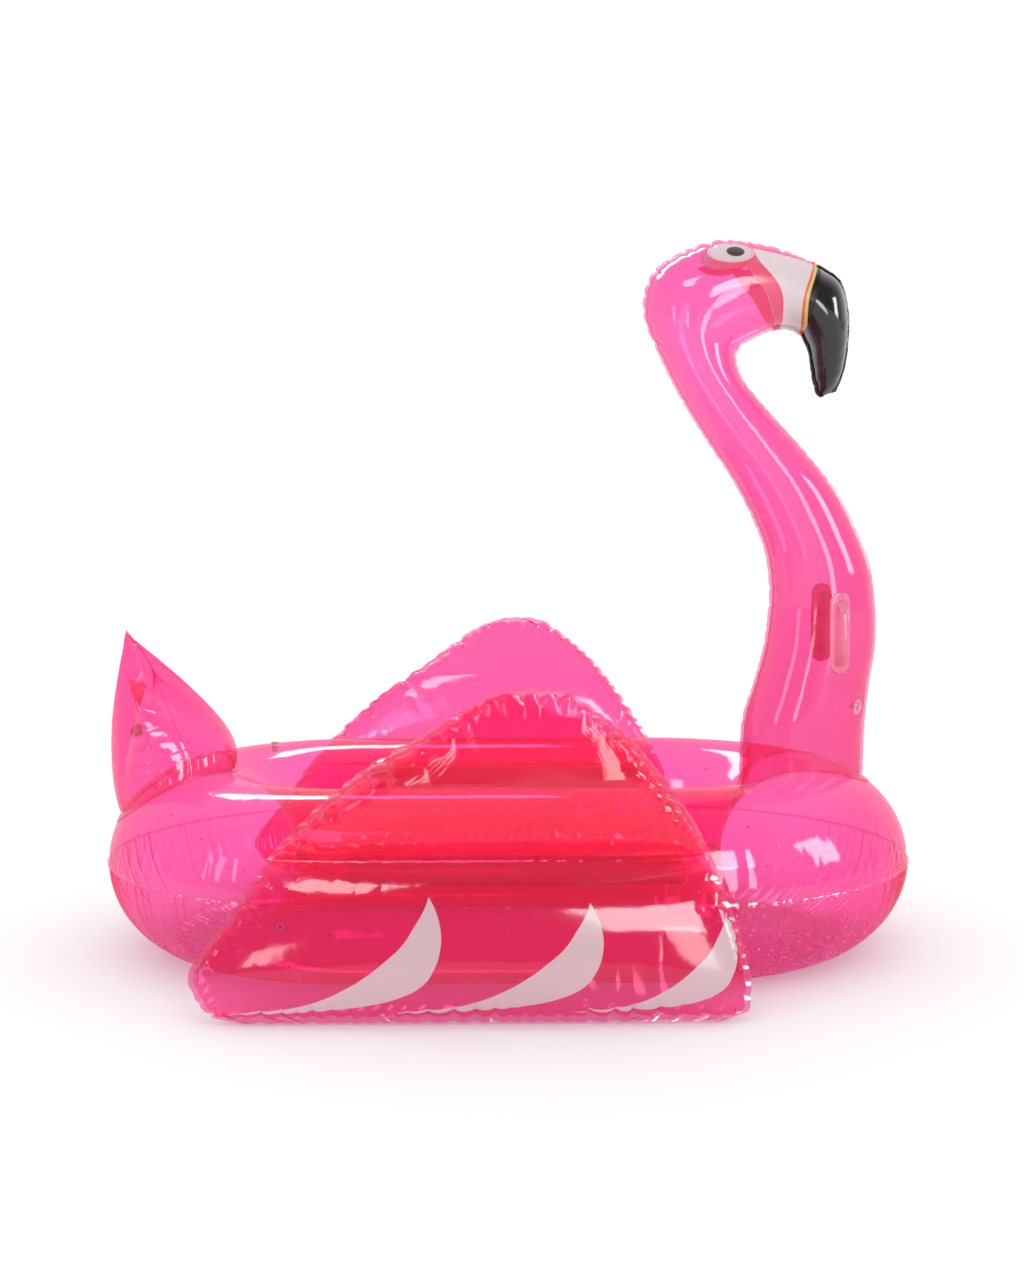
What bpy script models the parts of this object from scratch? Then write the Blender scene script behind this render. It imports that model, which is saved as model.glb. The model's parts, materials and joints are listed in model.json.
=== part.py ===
"""Ride-on inflatable pool float shaped like a wading bird: an oval seat ring with a hooked neck
and head at the front, a three-pointed tail at the back and a folding wing on each side.
Every chamber is welded from thin film panels and has its own push-in valve.

Frame: metres, +X towards the head, +Y towards the bird's left, +Z up. The origin is on the ground
under the middle of the ring."""

import math

import bmesh
import bpy
from mathutils import Matrix, Vector

SIDES = (("left", 1), ("right", -1))

# ---- Film and welds ----
FILM = 0.0004            # thickness of the film
WELD_GAP = 0.0003        # kept between two films that are welded together
PLY = (FILM + WELD_GAP) / 2  # from a weld's middle plane to the middle of each film

# ---- Seat ring: a tube round a path of two straights and two half circles ----
PATH_RADIUS = 0.31       # of the path's two half circles
PATH_STRAIGHT = 0.32     # half the length of the path's straights
TUBE_SIDE = 0.18         # half the tube's width along the straights
TUBE_END = 0.19          # half the tube's width at the front and back
TUBE_HALF_HEIGHT = 0.1875
RING_FLANGE = 0.005
ARC_STEPS = 12           # sides in each half circle
STRAIGHT_STEPS = 3
TUBE_FACETS = 9          # across each panel; an odd number leaves one facet flat on the ground
LOWEST_EDGE = math.radians(80)   # where the lowest facet's edge lies round the tube
EQUATOR = PLY + TUBE_HALF_HEIGHT * math.sin(LOWEST_EDGE) + FILM / 2

SEAT_DROP = 0.00105      # the seat sheet's edge lies this far under the ring's weld
SEAT_SAG = 0.05
SEAT_ROWS = (0.0, 0.12, 0.4, 0.7)
SEAT_OVERLAP = 0.001     # of the seat sheet past the ring's inner seam

# ---- Neck and head: pairs of points on the outer and inner weld edge, and half the depth ----
NECK_SECTIONS = (
    ((0.4766, 0.325), (0.7365, 0.350), 0.118),
    ((0.4820, 0.455), (0.7385, 0.455), 0.120),
    ((0.5060, 0.540), (0.7470, 0.540), 0.117),
    ((0.5250, 0.615), (0.7570, 0.612), 0.114),
    ((0.5330, 0.680), (0.7575, 0.672), 0.112),
    ((0.5355, 0.730), (0.7520, 0.730), 0.110),
    ((0.5260, 0.805), (0.7415, 0.785), 0.108),
    ((0.5000, 0.875), (0.7150, 0.850), 0.106),
    ((0.4570, 0.956), (0.6700, 0.935), 0.104),
    ((0.4025, 1.037), (0.6030, 1.018), 0.103),
    ((0.3500, 1.120), (0.5350, 1.092), 0.105),
    ((0.3050, 1.207), (0.4800, 1.157), 0.110),
    ((0.2720, 1.290), (0.4640, 1.200), 0.117),
    ((0.2820, 1.360), (0.4680, 1.219), 0.120),
    ((0.3250, 1.403), (0.4770, 1.230), 0.120),
    ((0.4165, 1.439), (0.4980, 1.242), 0.114),
    ((0.5080, 1.433), (0.5300, 1.256), 0.102),
    ((0.5750, 1.414), (0.5650, 1.2595), 0.090),
    ((0.6260, 1.3930), (0.5930, 1.2480), 0.081),
)
BILL_SECTIONS = (
    ((0.6290, 1.3912), (0.5950, 1.2450), 0.081),
    ((0.6720, 1.360), (0.6080, 1.215), 0.074),
    ((0.6900, 1.300), (0.6120, 1.190), 0.062),
    ((0.6915, 1.240), (0.6170, 1.160), 0.048),
    ((0.6840, 1.180), (0.6235, 1.135), 0.030),
    ((0.6680, 1.136), (0.6330, 1.122), 0.004),
)
NECK_FLANGE = 0.008
NECK_FACETS = 7
BASE_CLEARANCE = 0.0045  # from the ring's film to the edge of the neck or the tail
COLLAR_LIFT = 0.0025
COLLAR_INSIDE = 0.004
COLLAR_OUTSIDE = 0.012
COLLAR_STEPS = 24

# ---- Tail: the crown's edge from the middle tip to the side tip, and the foot's oval ----
CROWN = ((0.0, 0.646, -0.785), (0.035, 0.598, -0.757), (0.065, 0.543, -0.733),
         (0.105, 0.552, -0.747), (0.138, 0.562, -0.758))  # (y, z, x)
TAIL_FOOT_X = -0.683
TAIL_FOOT_LENGTH = 0.113
TAIL_FOOT_WIDTH = 0.170
TAIL_FLANGE = 0.007
FLANGE_SPREAD = 0.4      # how far the crown's flange leans sideways per metre from the middle
FLANGE_CLIMB = 0.12      # and how far it climbs
TAIL_FRONT_BULGE = 0.052
TAIL_BACK_BULGE = 0.027
BULGE_LOW = 0.75         # below 1 puts the fullest part of a panel under its middle
TAIL_ROWS = 7
TAIL_COLUMNS = 6         # each side of the middle

# ---- Wings: weld line to the ring, then the outline as (height along the wing, back, front) ----
WELD_Y = 0.502
WELD_Z = 0.285
UPPER_LEAN = Vector((0.128, 0.320)).normalized()   # outwards, up
LOWER_LEAN = Vector((0.103, -0.273)).normalized()
WING_OUTLINE = (
    (-0.300, -0.490, 0.375), (-0.285, -0.548, 0.418), (-0.245, -0.580, 0.427), (-0.200, -0.585, 0.424),
    (-0.100, -0.515, 0.398), (0.000, -0.450, 0.362), (0.075, -0.388, 0.328), (0.165, -0.290, 0.272),
    (0.250, -0.172, 0.207), (0.310, -0.093, 0.142), (0.345, -0.030, 0.095), (0.353, 0.005, 0.060),
)
WING_FLANGE = 0.010
WELD_HALF = 0.004        # half the height of the weld across the wing
WING_LEVELS = (-0.290, -0.245, -0.165, -0.085, -0.035, -WELD_HALF,
               WELD_HALF, 0.035, 0.095, 0.165, 0.235, 0.295, 0.343)  # heights of its rows of points
WING_COLUMNS = (0.0, 0.05, 0.16, 0.33, 0.5, 0.67, 0.84, 0.95, 1.0)
WING_OUTER_DEPTH = 0.085
WING_LOWER_INNER_DEPTH = 0.036
WING_UPPER_INNER_DEPTH = 0.080
WING_FULL_WIDTH = 0.5    # where the wing is narrower than this, it is thinner too
WING_LOBE_LOW = 0.8      # below 1 puts the fullest part of the upper lobe under its middle
TAB_HALF_LENGTH = 0.31
TAB_LIFT = 0.001
TAB_WELD = (0.05, 0.5)   # shares of the ring's shoulder facet between which the tab is welded
TAB_CLEARANCE = 0.0025   # from the tab's end to the wing's weld line

# ---- Handles ----
HANDLE_LENGTH = 0.166
HANDLE_WIDTH = 0.044
HANDLE_PAD = 0.0016
HANDLE_RISE = 0.030      # of the grip's middle over the pad
HANDLE_SPAN = 0.124
GRIP_RADIUS = 0.006
HANDLE_LIFT = 0.0022
HANDLE_HEIGHT = 0.652    # of the handle's middle over the ground
HANDLE_FORWARD = 0.18    # share of the neck's half width that it lies ahead of the side's middle
GRIP_SEAT = 0.0012       # height of the grip's centre line where it meets the pad
GRIP_STEPS = 8
PAD_END_STEPS = 6

# ---- Valves: radii and heights along the valve's own axis, zero at the film ----
VALVE_SIDES = 12
VALVE_LIFT = 0.0014
PORT_RADIUS = 0.0075     # of the hole in the film
PORT_DEPTH = 0.05        # of the tool that cuts it
SEAT_RADIUS = 0.016
SEAT_EDGE = 0.0006       # thickness of the seat at its rim
SEAT_SHOULDER = 0.0012   # and where it meets the boss
SEAT_BORE = 0.0059
BOSS_RADIUS = 0.0082
BOSS_HEIGHT = 0.0030
STEM_RADIUS = 0.0055
STEM_BORE = 0.0042
STEM_TOP = 0.0049
STEM_FOOT = -0.0140
STEM_PLAY = 0.0004       # between the pushed-in stem's rim and the boss
BEAD_HEIGHT = 0.001
RIM_RADIUS = 0.0070
BEAD_RADIUS = 0.0066
LUG_END = 0.0125
LUG_WIDTH = 0.005
LUG_UNDER = 0.0036
LUG_TOP = 0.0047
FOLD_GAP = 0.0004        # from the lug's end to the tether's fold line
PLUG_UNDER = 0.0053
PLUG_TOP = 0.0069
PLUG_TIP = 0.0010
PLUG_CROWN = 0.0004      # how far the plug's top rises towards its middle
PLUG_RADIUS = 0.0037
PLUG_TIP_RADIUS = 0.0030
STRAP_WIDTH = 0.0044
STRAP_THICKNESS = 0.0009
STRAP_START = 0.8        # share of the plug's rim where the strap begins

PINK = (0.93, 0.16, 0.42)
DEEP_PINK = (0.90, 0.08, 0.28)
BLACK = (0.02, 0.02, 0.022)
CLEAR_PINK = (0.95, 0.55, 0.70)
VERTEX_GAP = 1e-6        # points closer than this are one point


# ---- Scene ----

def clear_scene():
    for obj in list(bpy.data.objects):
        bpy.data.objects.remove(obj, do_unlink=True)


def new_collection(name):
    collection = bpy.data.collections.new(name)
    bpy.context.scene.collection.children.link(collection)
    return collection


def new_material(name, colour, roughness=0.12):
    material = bpy.data.materials.new(name)
    material.use_nodes = True
    shader = material.node_tree.nodes["Principled BSDF"]
    shader.inputs["Base Color"].default_value = (*colour, 1.0)
    shader.inputs["Roughness"].default_value = roughness
    material.diffuse_color = (*colour, 1.0)
    return material


def add_object(name, mesh, material, place=None):
    obj = bpy.data.objects.new(name, mesh)
    PARTS.objects.link(obj)
    mesh.materials.append(material)
    if place is not None:
        obj.matrix_world = place
    return obj


def add_cutter(name, mesh, place):
    obj = bpy.data.objects.new(name, mesh)
    CUTTERS.objects.link(obj)
    obj.matrix_world = place
    obj.display_type = "WIRE"
    obj.hide_render = True
    return obj


# ---- Shapes ----

def loft(name, rows, material, closed=False):
    """Film stretched over rows of points, given its thickness by Solidify."""
    mesh = bmesh.new()
    grid = [[mesh.verts.new(point) for point in row] for row in rows]
    last = len(grid) if closed else len(grid) - 1
    for i in range(last):
        here, there = grid[i], grid[(i + 1) % len(grid)]
        for j in range(len(here) - 1):
            mesh.faces.new((here[j], there[j], there[j + 1], here[j + 1]))
    bmesh.ops.remove_doubles(mesh, verts=mesh.verts, dist=VERTEX_GAP)
    bmesh.ops.recalc_face_normals(mesh, faces=mesh.faces)
    data = bpy.data.meshes.new(name)
    mesh.to_mesh(data)
    mesh.free()
    data.shade_smooth()
    obj = add_object(name, data, material)
    thickness = obj.modifiers.new("film", "SOLIDIFY")
    thickness.thickness = FILM
    thickness.offset = 0.0
    thickness.use_even_offset = True
    return obj


def turned(name, profile):
    """A closed profile of (radius, height) points turned round the local Z axis."""
    mesh = bmesh.new()
    verts = [mesh.verts.new((radius, 0.0, height)) for radius, height in profile]
    for start, end in zip(verts, verts[1:] + verts[:1]):
        mesh.edges.new((start, end))
    data = bpy.data.meshes.new(name)
    bmesh.ops.spin(mesh, geom=mesh.verts[:] + mesh.edges[:], cent=(0, 0, 0), axis=(0, 0, 1),
                   angle=2 * math.pi, steps=VALVE_SIDES, use_merge=True, use_duplicate=False)
    bmesh.ops.remove_doubles(mesh, verts=mesh.verts, dist=VERTEX_GAP)
    bmesh.ops.recalc_face_normals(mesh, faces=mesh.faces)
    mesh.to_mesh(data)
    mesh.free()
    return data


def box_mesh(name, low, high):
    mesh = bmesh.new()
    bmesh.ops.create_cube(mesh, size=1.0)
    low, high = Vector(low), Vector(high)
    size = high - low
    bmesh.ops.scale(mesh, vec=size, verts=mesh.verts)
    bmesh.ops.translate(mesh, vec=(low + high) / 2, verts=mesh.verts)
    data = bpy.data.meshes.new(name)
    mesh.to_mesh(data)
    mesh.free()
    return data


def join_to(obj, other, operation="UNION"):
    modifier = obj.modifiers.new(other.name, "BOOLEAN")
    modifier.operation = operation
    modifier.solver = "EXACT"
    modifier.object = other


def smooth_rows(rows, steps):
    """Catmull-Rom curve through rows of equal length, with this many steps between two of them."""
    rows = [Vector(row) for row in rows]
    ends = [2 * rows[0] - rows[1]] + rows + [2 * rows[-1] - rows[-2]]
    found = []
    for before, start, end, after in zip(ends, ends[1:], ends[2:], ends[3:]):
        for step in range(steps):
            t = step / steps
            found.append(0.5 * (2 * start + (end - before) * t
                                + (2 * before - 5 * start + 4 * end - after) * t * t
                                + (3 * start - before - 3 * end + after) * t ** 3))
    return found + [rows[-1]]


def place_on(point, normal, up):
    """Matrix whose Z is the surface's normal and whose Y is as near to up as the surface allows."""
    z = Vector(normal).normalized()
    x = Vector(up).cross(z).normalized()
    y = z.cross(x)
    return Matrix.Translation(point) @ Matrix((x, y, z)).transposed().to_4x4()


# ---- Ring ----

def tube_width(lean):
    """Half the tube's width where the path's outward normal has this sine towards X."""
    return TUBE_SIDE + (TUBE_END - TUBE_SIDE) * lean * lean


def ring_stations():
    """(centre, outward normal, half width) round the path, which starts at the front of +Y."""
    stations = []
    for sign in (1, -1):
        for step in range(STRAIGHT_STEPS):
            x = sign * PATH_STRAIGHT * (1 - 2 * step / STRAIGHT_STEPS)
            stations.append((Vector((x, sign * PATH_RADIUS, 0)), Vector((0, sign, 0)), TUBE_SIDE))
        for step in range(ARC_STEPS):
            angle = math.pi * step / ARC_STEPS
            normal = Vector((-sign * math.sin(angle), sign * math.cos(angle), 0))
            centre = Vector((-sign * PATH_STRAIGHT, 0, 0)) + PATH_RADIUS * normal
            stations.append((centre, normal, tube_width(math.sin(angle))))
    return stations


def ring_across():
    """(share of the half width, flange, share of the height) across one panel, outside to inside."""
    arc = [math.pi * step / TUBE_FACETS for step in range(TUBE_FACETS + 1)]
    middle = [(math.cos(angle), 0.0, math.sin(angle)) for angle in arc]
    return [(1.0, RING_FLANGE, 0.0)] + middle + [(-1.0, -RING_FLANGE, 0.0)]


def ring_panel(name, side):
    rows = []
    for centre, normal, half in ring_stations():
        row = []
        for share, flange, height in ring_across():
            point = centre + normal * (share * half + flange)
            point.z = EQUATOR + side * (PLY + height * TUBE_HALF_HEIGHT)
            row.append(point)
        rows.append(row)
    return loft(name, rows, FILM_PINK, closed=True)


def ring_surface(x, y):
    """Point on the ring's upper film over (x, y), and its outward normal."""
    over = max(abs(x) - PATH_STRAIGHT, 0.0)
    reach = math.hypot(over, y)
    outward = Vector((math.copysign(over, x), y, 0)) / reach
    half = tube_width(over / reach)
    share = (reach - PATH_RADIUS) / half
    height = TUBE_HALF_HEIGHT * math.sqrt(max(1 - share * share, 0.0))
    normal = outward * (share / half) + Vector((0, 0, height / TUBE_HALF_HEIGHT ** 2))
    return Vector((x, y, EQUATOR + PLY + height)), normal.normalized()


def over_ring(x, y):
    """Point that stands clear of the ring's film, where the foot of the neck or tail ends."""
    surface, normal = ring_surface(x, y)
    return surface + normal * BASE_CLEARANCE


def seat_floor():
    rows = []
    spine = PATH_STRAIGHT
    for centre, normal, half in ring_stations():
        edge = centre - normal * (half + SEAT_OVERLAP)
        middle = Vector((max(-spine, min(spine, edge.x)), 0, 0))
        row = []
        for share in (*SEAT_ROWS, 1.0):
            point = edge.lerp(middle, share)
            fall = max(share - SEAT_ROWS[1], 0) / (1 - SEAT_ROWS[1])
            point.z = EQUATOR - SEAT_DROP - SEAT_SAG * math.sin(fall * math.pi / 2)
            row.append(point)
        rows.append(row)
    return loft("seat_floor", rows, FILM_DEEP, closed=True)


def collar(name, outline):
    """Weld strip that lies on the ring round a foot whose outline is (x, y) points."""
    middle = sum((Vector(point) for point in outline), Vector((0, 0))) / len(outline)
    rows = []
    for point in outline:
        point = Vector(point)
        away = (point - middle).normalized()
        row = []
        for offset in (-COLLAR_INSIDE, COLLAR_INSIDE, COLLAR_OUTSIDE):
            place = point + away * offset
            surface, normal = ring_surface(*place)
            row.append(surface + normal * COLLAR_LIFT)
        rows.append(row)
    return loft(name, rows, FILM_DEEP, closed=True)


# ---- Neck, head and bill ----

def section_points(section, side):
    """Points across one panel of a section, from the outer weld edge to the inner one."""
    outer_x, outer_z, inner_x, inner_z, depth = section
    outer = Vector((outer_x, 0, outer_z))
    inner = Vector((inner_x, 0, inner_z))
    along = (outer - inner).normalized()
    outer_seam, inner_seam = outer - along * NECK_FLANGE, inner + along * NECK_FLANGE
    middle, half = (outer_seam + inner_seam) / 2, (outer_seam - inner_seam) / 2
    across = Vector((0, side, 0))
    ply = across * PLY
    points = [outer + ply]
    for step in range(NECK_FACETS + 1):
        angle = math.pi * step / NECK_FACETS
        points.append(middle + half * math.cos(angle) + across * depth * math.sin(angle) + ply)
    return points + [inner + ply]


def flat_rows(sections):
    return [(*outer, *inner, depth) for outer, inner, depth in sections]


def neck_panel(name, side):
    rows = [section_points(section, side) for section in flat_rows(NECK_SECTIONS)]
    rows[0] = [over_ring(point.x, point.y) for point in rows[0]]
    return loft(name, rows, FILM_PINK)


def neck_foot():
    (outer_x, _), (inner_x, _), depth = NECK_SECTIONS[0]
    middle, half = (outer_x + inner_x) / 2, (inner_x - outer_x) / 2
    angles = [2 * math.pi * step / COLLAR_STEPS for step in range(COLLAR_STEPS)]
    return [(middle + half * math.cos(angle), depth * math.sin(angle)) for angle in angles]


def neck_surface(height, share, side):
    """Point and normal on the neck's side at a height; share is -1 at the back, 1 at the front."""
    sections = smooth_rows(flat_rows(NECK_SECTIONS[1:7]), 8)
    nearest = min(range(1, len(sections) - 1),
                  key=lambda at: abs((sections[at][1] + sections[at][3]) / 2 - height))
    below, section, above = sections[nearest - 1:nearest + 2]
    climb = (above[1] + above[3] - below[1] - below[3]) / 2
    drift = (above[0] + above[2] - below[0] - below[2]) / 2 / climb
    swell = (above[4] - below[4]) / climb
    back, front, depth = section[0] + NECK_FLANGE, section[2] - NECK_FLANGE, section[4]
    half = (front - back) / 2
    out = math.sqrt(1 - share * share)
    point = Vector(((back + front) / 2 + share * half, side * (depth * out + PLY), height))
    slope = -share / half * drift - out * out / depth * swell
    return point, Vector((share / half, side * out / depth, slope)).normalized()


# ---- Tail ----

def crown_point(share):
    """Point on the crown's edge; share runs from 0 at the middle tip to -1 or 1 at a side tip."""
    points = [Vector((x, y, z)) for y, z, x in CROWN]
    place = abs(share) * (len(points) - 1)
    low = min(int(place), len(points) - 2)
    point = points[low].lerp(points[low + 1], place - low)
    point.y = math.copysign(point.y, share) if share else 0.0
    return point


def tail_foot_point(share, side):
    """Point on the foot's oval; side is 1 for the front panel and -1 for the back one."""
    angle = share * math.pi / 2
    x = TAIL_FOOT_X + side * TAIL_FOOT_LENGTH * math.cos(angle)
    return over_ring(x, TAIL_FOOT_WIDTH * math.sin(angle))


def tail_point(share, rise, side):
    foot, top = tail_foot_point(share, side), crown_point(share)
    bulge = TAIL_FRONT_BULGE if side > 0 else TAIL_BACK_BULGE
    swell = math.sin(math.pi * rise ** BULGE_LOW) * math.cos(share * math.pi / 2)
    return foot.lerp(top, rise) + Vector((side * (bulge * swell + PLY), 0, 0))


def tail_panel(name, side):
    columns = [step / TAIL_COLUMNS for step in range(-TAIL_COLUMNS, TAIL_COLUMNS + 1)]
    rows = []
    for share in (columns[0], *columns, columns[-1]):
        row = [tail_point(share, step / TAIL_ROWS, side) for step in range(TAIL_ROWS + 1)]
        top = crown_point(share)
        outwards = Vector((0, top.y * FLANGE_SPREAD, FLANGE_CLIMB)).normalized() * TAIL_FLANGE
        row.append(row[-1] + outwards)
        rows.append(row)
    for row, sign in ((rows[0], -1), (rows[-1], 1)):
        for point in row:
            point.y += sign * TAIL_FLANGE
        row[0] = over_ring(row[0].x, row[0].y)
    return loft(name, rows, FILM_PINK)


def tail_foot():
    angles = [2 * math.pi * step / COLLAR_STEPS for step in range(COLLAR_STEPS)]
    return [(TAIL_FOOT_X + TAIL_FOOT_LENGTH * math.cos(angle), TAIL_FOOT_WIDTH * math.sin(angle))
            for angle in angles]


# ---- Wings ----

def wing_edges(level):
    """Back and front edge of the wing's outline at a level."""
    for low, high in zip(WING_OUTLINE, WING_OUTLINE[1:]):
        if level <= high[0]:
            break
    share = (level - low[0]) / (high[0] - low[0])
    return low[1] + share * (high[1] - low[1]), low[2] + share * (high[2] - low[2])


def oval(share):
    """Height of a half circle over a share from 0 to 1."""
    return math.sqrt(max(1 - (2 * share - 1) ** 2, 0.0))


def wing_depth(level, across, face):
    """How far a panel stands off the wing's middle; face is 1 for the outer panel, -1 inner."""
    limit = WING_LEVELS[0] if level < 0 else WING_LEVELS[-1]
    share = (abs(level) - WELD_HALF) / (abs(limit) - WELD_HALF)
    if level < 0:
        depth = WING_OUTER_DEPTH if face > 0 else WING_LOWER_INNER_DEPTH
    else:
        back, front = wing_edges(level)
        share **= WING_LOBE_LOW
        depth = WING_OUTER_DEPTH if face > 0 else WING_UPPER_INNER_DEPTH
        depth *= min(1.0, (front - back) / WING_FULL_WIDTH)
    return depth * oval(share) * math.sqrt(oval(across))


def wing_point(level, x, depth, side):
    lean = UPPER_LEAN if level > 0 else LOWER_LEAN
    outward = Vector((abs(lean.y), -math.copysign(lean.x, level)))
    out = WELD_Y + abs(level) * lean.x + depth * outward.x
    up = WELD_Z + abs(level) * lean.y + depth * outward.y
    return Vector((x, side * out, up))


def wing_panel(name, side, face):
    ply = face * PLY
    low, high = WING_LEVELS[0], WING_LEVELS[-1]
    rows = []
    for level in (low - WING_FLANGE, *WING_LEVELS, high + WING_FLANGE):
        back, front = wing_edges(level)
        row = [wing_point(level, back, ply, side)]
        for across in WING_COLUMNS:
            x = back + WING_FLANGE + across * (front - back - 2 * WING_FLANGE)
            depth = wing_depth(min(max(level, low), high), across, face) * face
            row.append(wing_point(level, x, depth + ply, side))
        row.append(wing_point(level, front, ply, side))
        rows.append(row)
    return loft(name, rows, FILM_PINK)


def wing_tab(name, side):
    """Strip welded to the ring's shoulder that carries the wing along its weld line."""
    facet = 2 * math.pi / (2 * TUBE_FACETS)
    corners = []
    for step in (2, 1):
        angle = facet * step
        out = PATH_RADIUS + TUBE_SIDE * math.cos(angle)
        corners.append(Vector((out, EQUATOR + PLY + TUBE_HALF_HEIGHT * math.sin(angle))))
    upper, lower = corners
    down = (lower - upper).normalized()
    lift = Vector((-down.y, down.x)) * TAB_LIFT
    profile = [upper.lerp(lower, share) + lift for share in TAB_WELD]
    profile.append(Vector((WELD_Y - TAB_CLEARANCE, WELD_Z)))
    rows = [[Vector((x, side * out, up)) for out, up in profile]
            for x in (-TAB_HALF_LENGTH, 0.0, TAB_HALF_LENGTH)]
    return loft(name, rows, FILM_DEEP)


# ---- Handles ----

def grip_mesh(name):
    """Arched grip bar along local Y, its feet sunk into the pad."""
    curve = bpy.data.curves.new(name, "CURVE")
    curve.dimensions = "3D"
    curve.bevel_depth = GRIP_RADIUS
    curve.bevel_resolution = 2
    curve.use_fill_caps = True
    spline = curve.splines.new("POLY")
    spline.points.add(GRIP_STEPS)
    for step, point in enumerate(spline.points):
        share = 2 * step / GRIP_STEPS - 1
        rise = HANDLE_RISE * (1 - share ** 4)
        point.co = (0, share * HANDLE_SPAN / 2, GRIP_SEAT + rise, 1)
    guide = bpy.data.objects.new(name + "_curve", curve)
    CUTTERS.objects.link(guide)
    bpy.context.view_layer.update()
    graph = bpy.context.evaluated_depsgraph_get()
    data = bpy.data.meshes.new_from_object(guide.evaluated_get(graph))
    bpy.data.objects.remove(guide)
    mesh = bmesh.new()
    mesh.from_mesh(data)
    bmesh.ops.remove_doubles(mesh, verts=mesh.verts, dist=10 * VERTEX_GAP)
    bmesh.ops.recalc_face_normals(mesh, faces=mesh.faces)
    mesh.to_mesh(data)
    mesh.free()
    data.name = name
    return data


def pad_mesh(name):
    """Flat pad with round ends, lying on the film under the grip."""
    radius = HANDLE_WIDTH / 2
    straight = HANDLE_LENGTH / 2 - radius
    outline = []
    for sign in (1, -1):
        for step in range(PAD_END_STEPS + 1):
            angle = math.pi * step / PAD_END_STEPS
            x, y = radius * math.cos(angle), straight + radius * math.sin(angle)
            outline.append((sign * x, sign * y))
    mesh = bmesh.new()
    face = mesh.faces.new([mesh.verts.new((x, y, 0)) for x, y in outline])
    raised = bmesh.ops.extrude_face_region(mesh, geom=[face])["geom"]
    verts = [item for item in raised if isinstance(item, bmesh.types.BMVert)]
    bmesh.ops.translate(mesh, vec=(0, 0, HANDLE_PAD), verts=verts)
    bmesh.ops.recalc_face_normals(mesh, faces=mesh.faces)
    data = bpy.data.meshes.new(name)
    mesh.to_mesh(data)
    mesh.free()
    return data


def handle(name, side):
    point, normal = neck_surface(HANDLE_HEIGHT, HANDLE_FORWARD, side)
    place = place_on(point + normal * HANDLE_LIFT, normal, (0, 0, 1))
    grip = add_cutter(name + "_grip", grip_mesh(name + "_grip"), place)
    obj = add_object(name, pad_mesh(name), MOULDED, place)
    join_to(obj, grip)
    return obj


# ---- Valves ----

def valve_seat_mesh():
    return turned("valve_seat", [
        (SEAT_BORE, 0.0), (SEAT_BORE, BOSS_HEIGHT), (BOSS_RADIUS, BOSS_HEIGHT),
        (BOSS_RADIUS, SEAT_SHOULDER), (SEAT_RADIUS, SEAT_EDGE), (SEAT_RADIUS, 0.0)])


def valve_stem_mesh():
    rim_under = BOSS_HEIGHT + STEM_PLAY
    bead_top = STEM_FOOT + BEAD_HEIGHT
    return turned("valve_stem", [
        (STEM_BORE, STEM_FOOT), (STEM_BORE, STEM_TOP), (RIM_RADIUS, STEM_TOP),
        (RIM_RADIUS, rim_under), (STEM_RADIUS, rim_under), (STEM_RADIUS, bead_top),
        (BEAD_RADIUS, bead_top), (BEAD_RADIUS, STEM_FOOT)])


def valve_plug_mesh():
    return turned("valve_plug", [
        (0.0, PLUG_TIP), (0.0, PLUG_TOP), (RIM_RADIUS, PLUG_TOP - PLUG_CROWN),
        (RIM_RADIUS, PLUG_UNDER), (PLUG_RADIUS, PLUG_UNDER), (PLUG_TIP_RADIUS, PLUG_TIP)])


def valve(tag, film, near, outwards, up):
    """Seat welded over a port in the film, a stem that slides in the seat, and a tethered plug.
    It sits in the middle of the film's facet that is nearest to a point."""
    facet = min(film.data.polygons, key=lambda face: (face.center - Vector(near)).length)
    normal = facet.normal if facet.normal.dot(Vector(outwards)) > 0 else -facet.normal
    place = place_on(facet.center + normal * VALVE_LIFT, normal, up)
    port_mesh = bmesh.new()
    bmesh.ops.create_cone(port_mesh, cap_ends=True, segments=VALVE_SIDES, radius1=PORT_RADIUS,
                          radius2=PORT_RADIUS, depth=PORT_DEPTH)
    data = bpy.data.meshes.new(tag + "_port")
    port_mesh.to_mesh(data)
    port_mesh.free()
    join_to(film, add_cutter(tag + "_port", data, place), "DIFFERENCE")

    add_object(tag + "_valve_seat", valve_seat_mesh(), MOULDED, place)

    stem = add_object(tag + "_valve_stem", valve_stem_mesh(), MOULDED, place)
    lug = box_mesh(tag + "_lug", (-LUG_WIDTH / 2, STEM_RADIUS, LUG_UNDER),
                   (LUG_WIDTH / 2, LUG_END, LUG_TOP))
    join_to(stem, add_cutter(tag + "_lug", lug, place))

    # The plug's origin is on its tether's fold line.
    fold = Vector((0, LUG_END + FOLD_GAP, (STEM_TOP + PLUG_UNDER) / 2))
    plug_mesh = valve_plug_mesh()
    plug_mesh.transform(Matrix.Translation(-fold))
    at_fold = place @ Matrix.Translation(fold)
    plug = add_object(tag + "_valve_plug", plug_mesh, MOULDED, at_fold)
    strap = box_mesh(tag + "_strap", (-STRAP_WIDTH / 2, RIM_RADIUS * STRAP_START, PLUG_UNDER),
                     (STRAP_WIDTH / 2, LUG_END, PLUG_UNDER + STRAP_THICKNESS))
    join_to(plug, add_cutter(tag + "_strap", strap, place))


# ---- Assembly ----

clear_scene()
PARTS = new_collection("bird_pool_float")
CUTTERS = new_collection("cutters")
CUTTERS.hide_render = True
FILM_PINK = new_material("pink_film", PINK)
FILM_DEEP = new_material("deep_pink_film", DEEP_PINK)
FILM_BLACK = new_material("black_film", BLACK)
MOULDED = new_material("moulded_vinyl", CLEAR_PINK, roughness=0.2)

ring_top = ring_panel("ring_top_panel", 1)
ring_panel("ring_bottom_panel", -1)
seat_floor()

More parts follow.
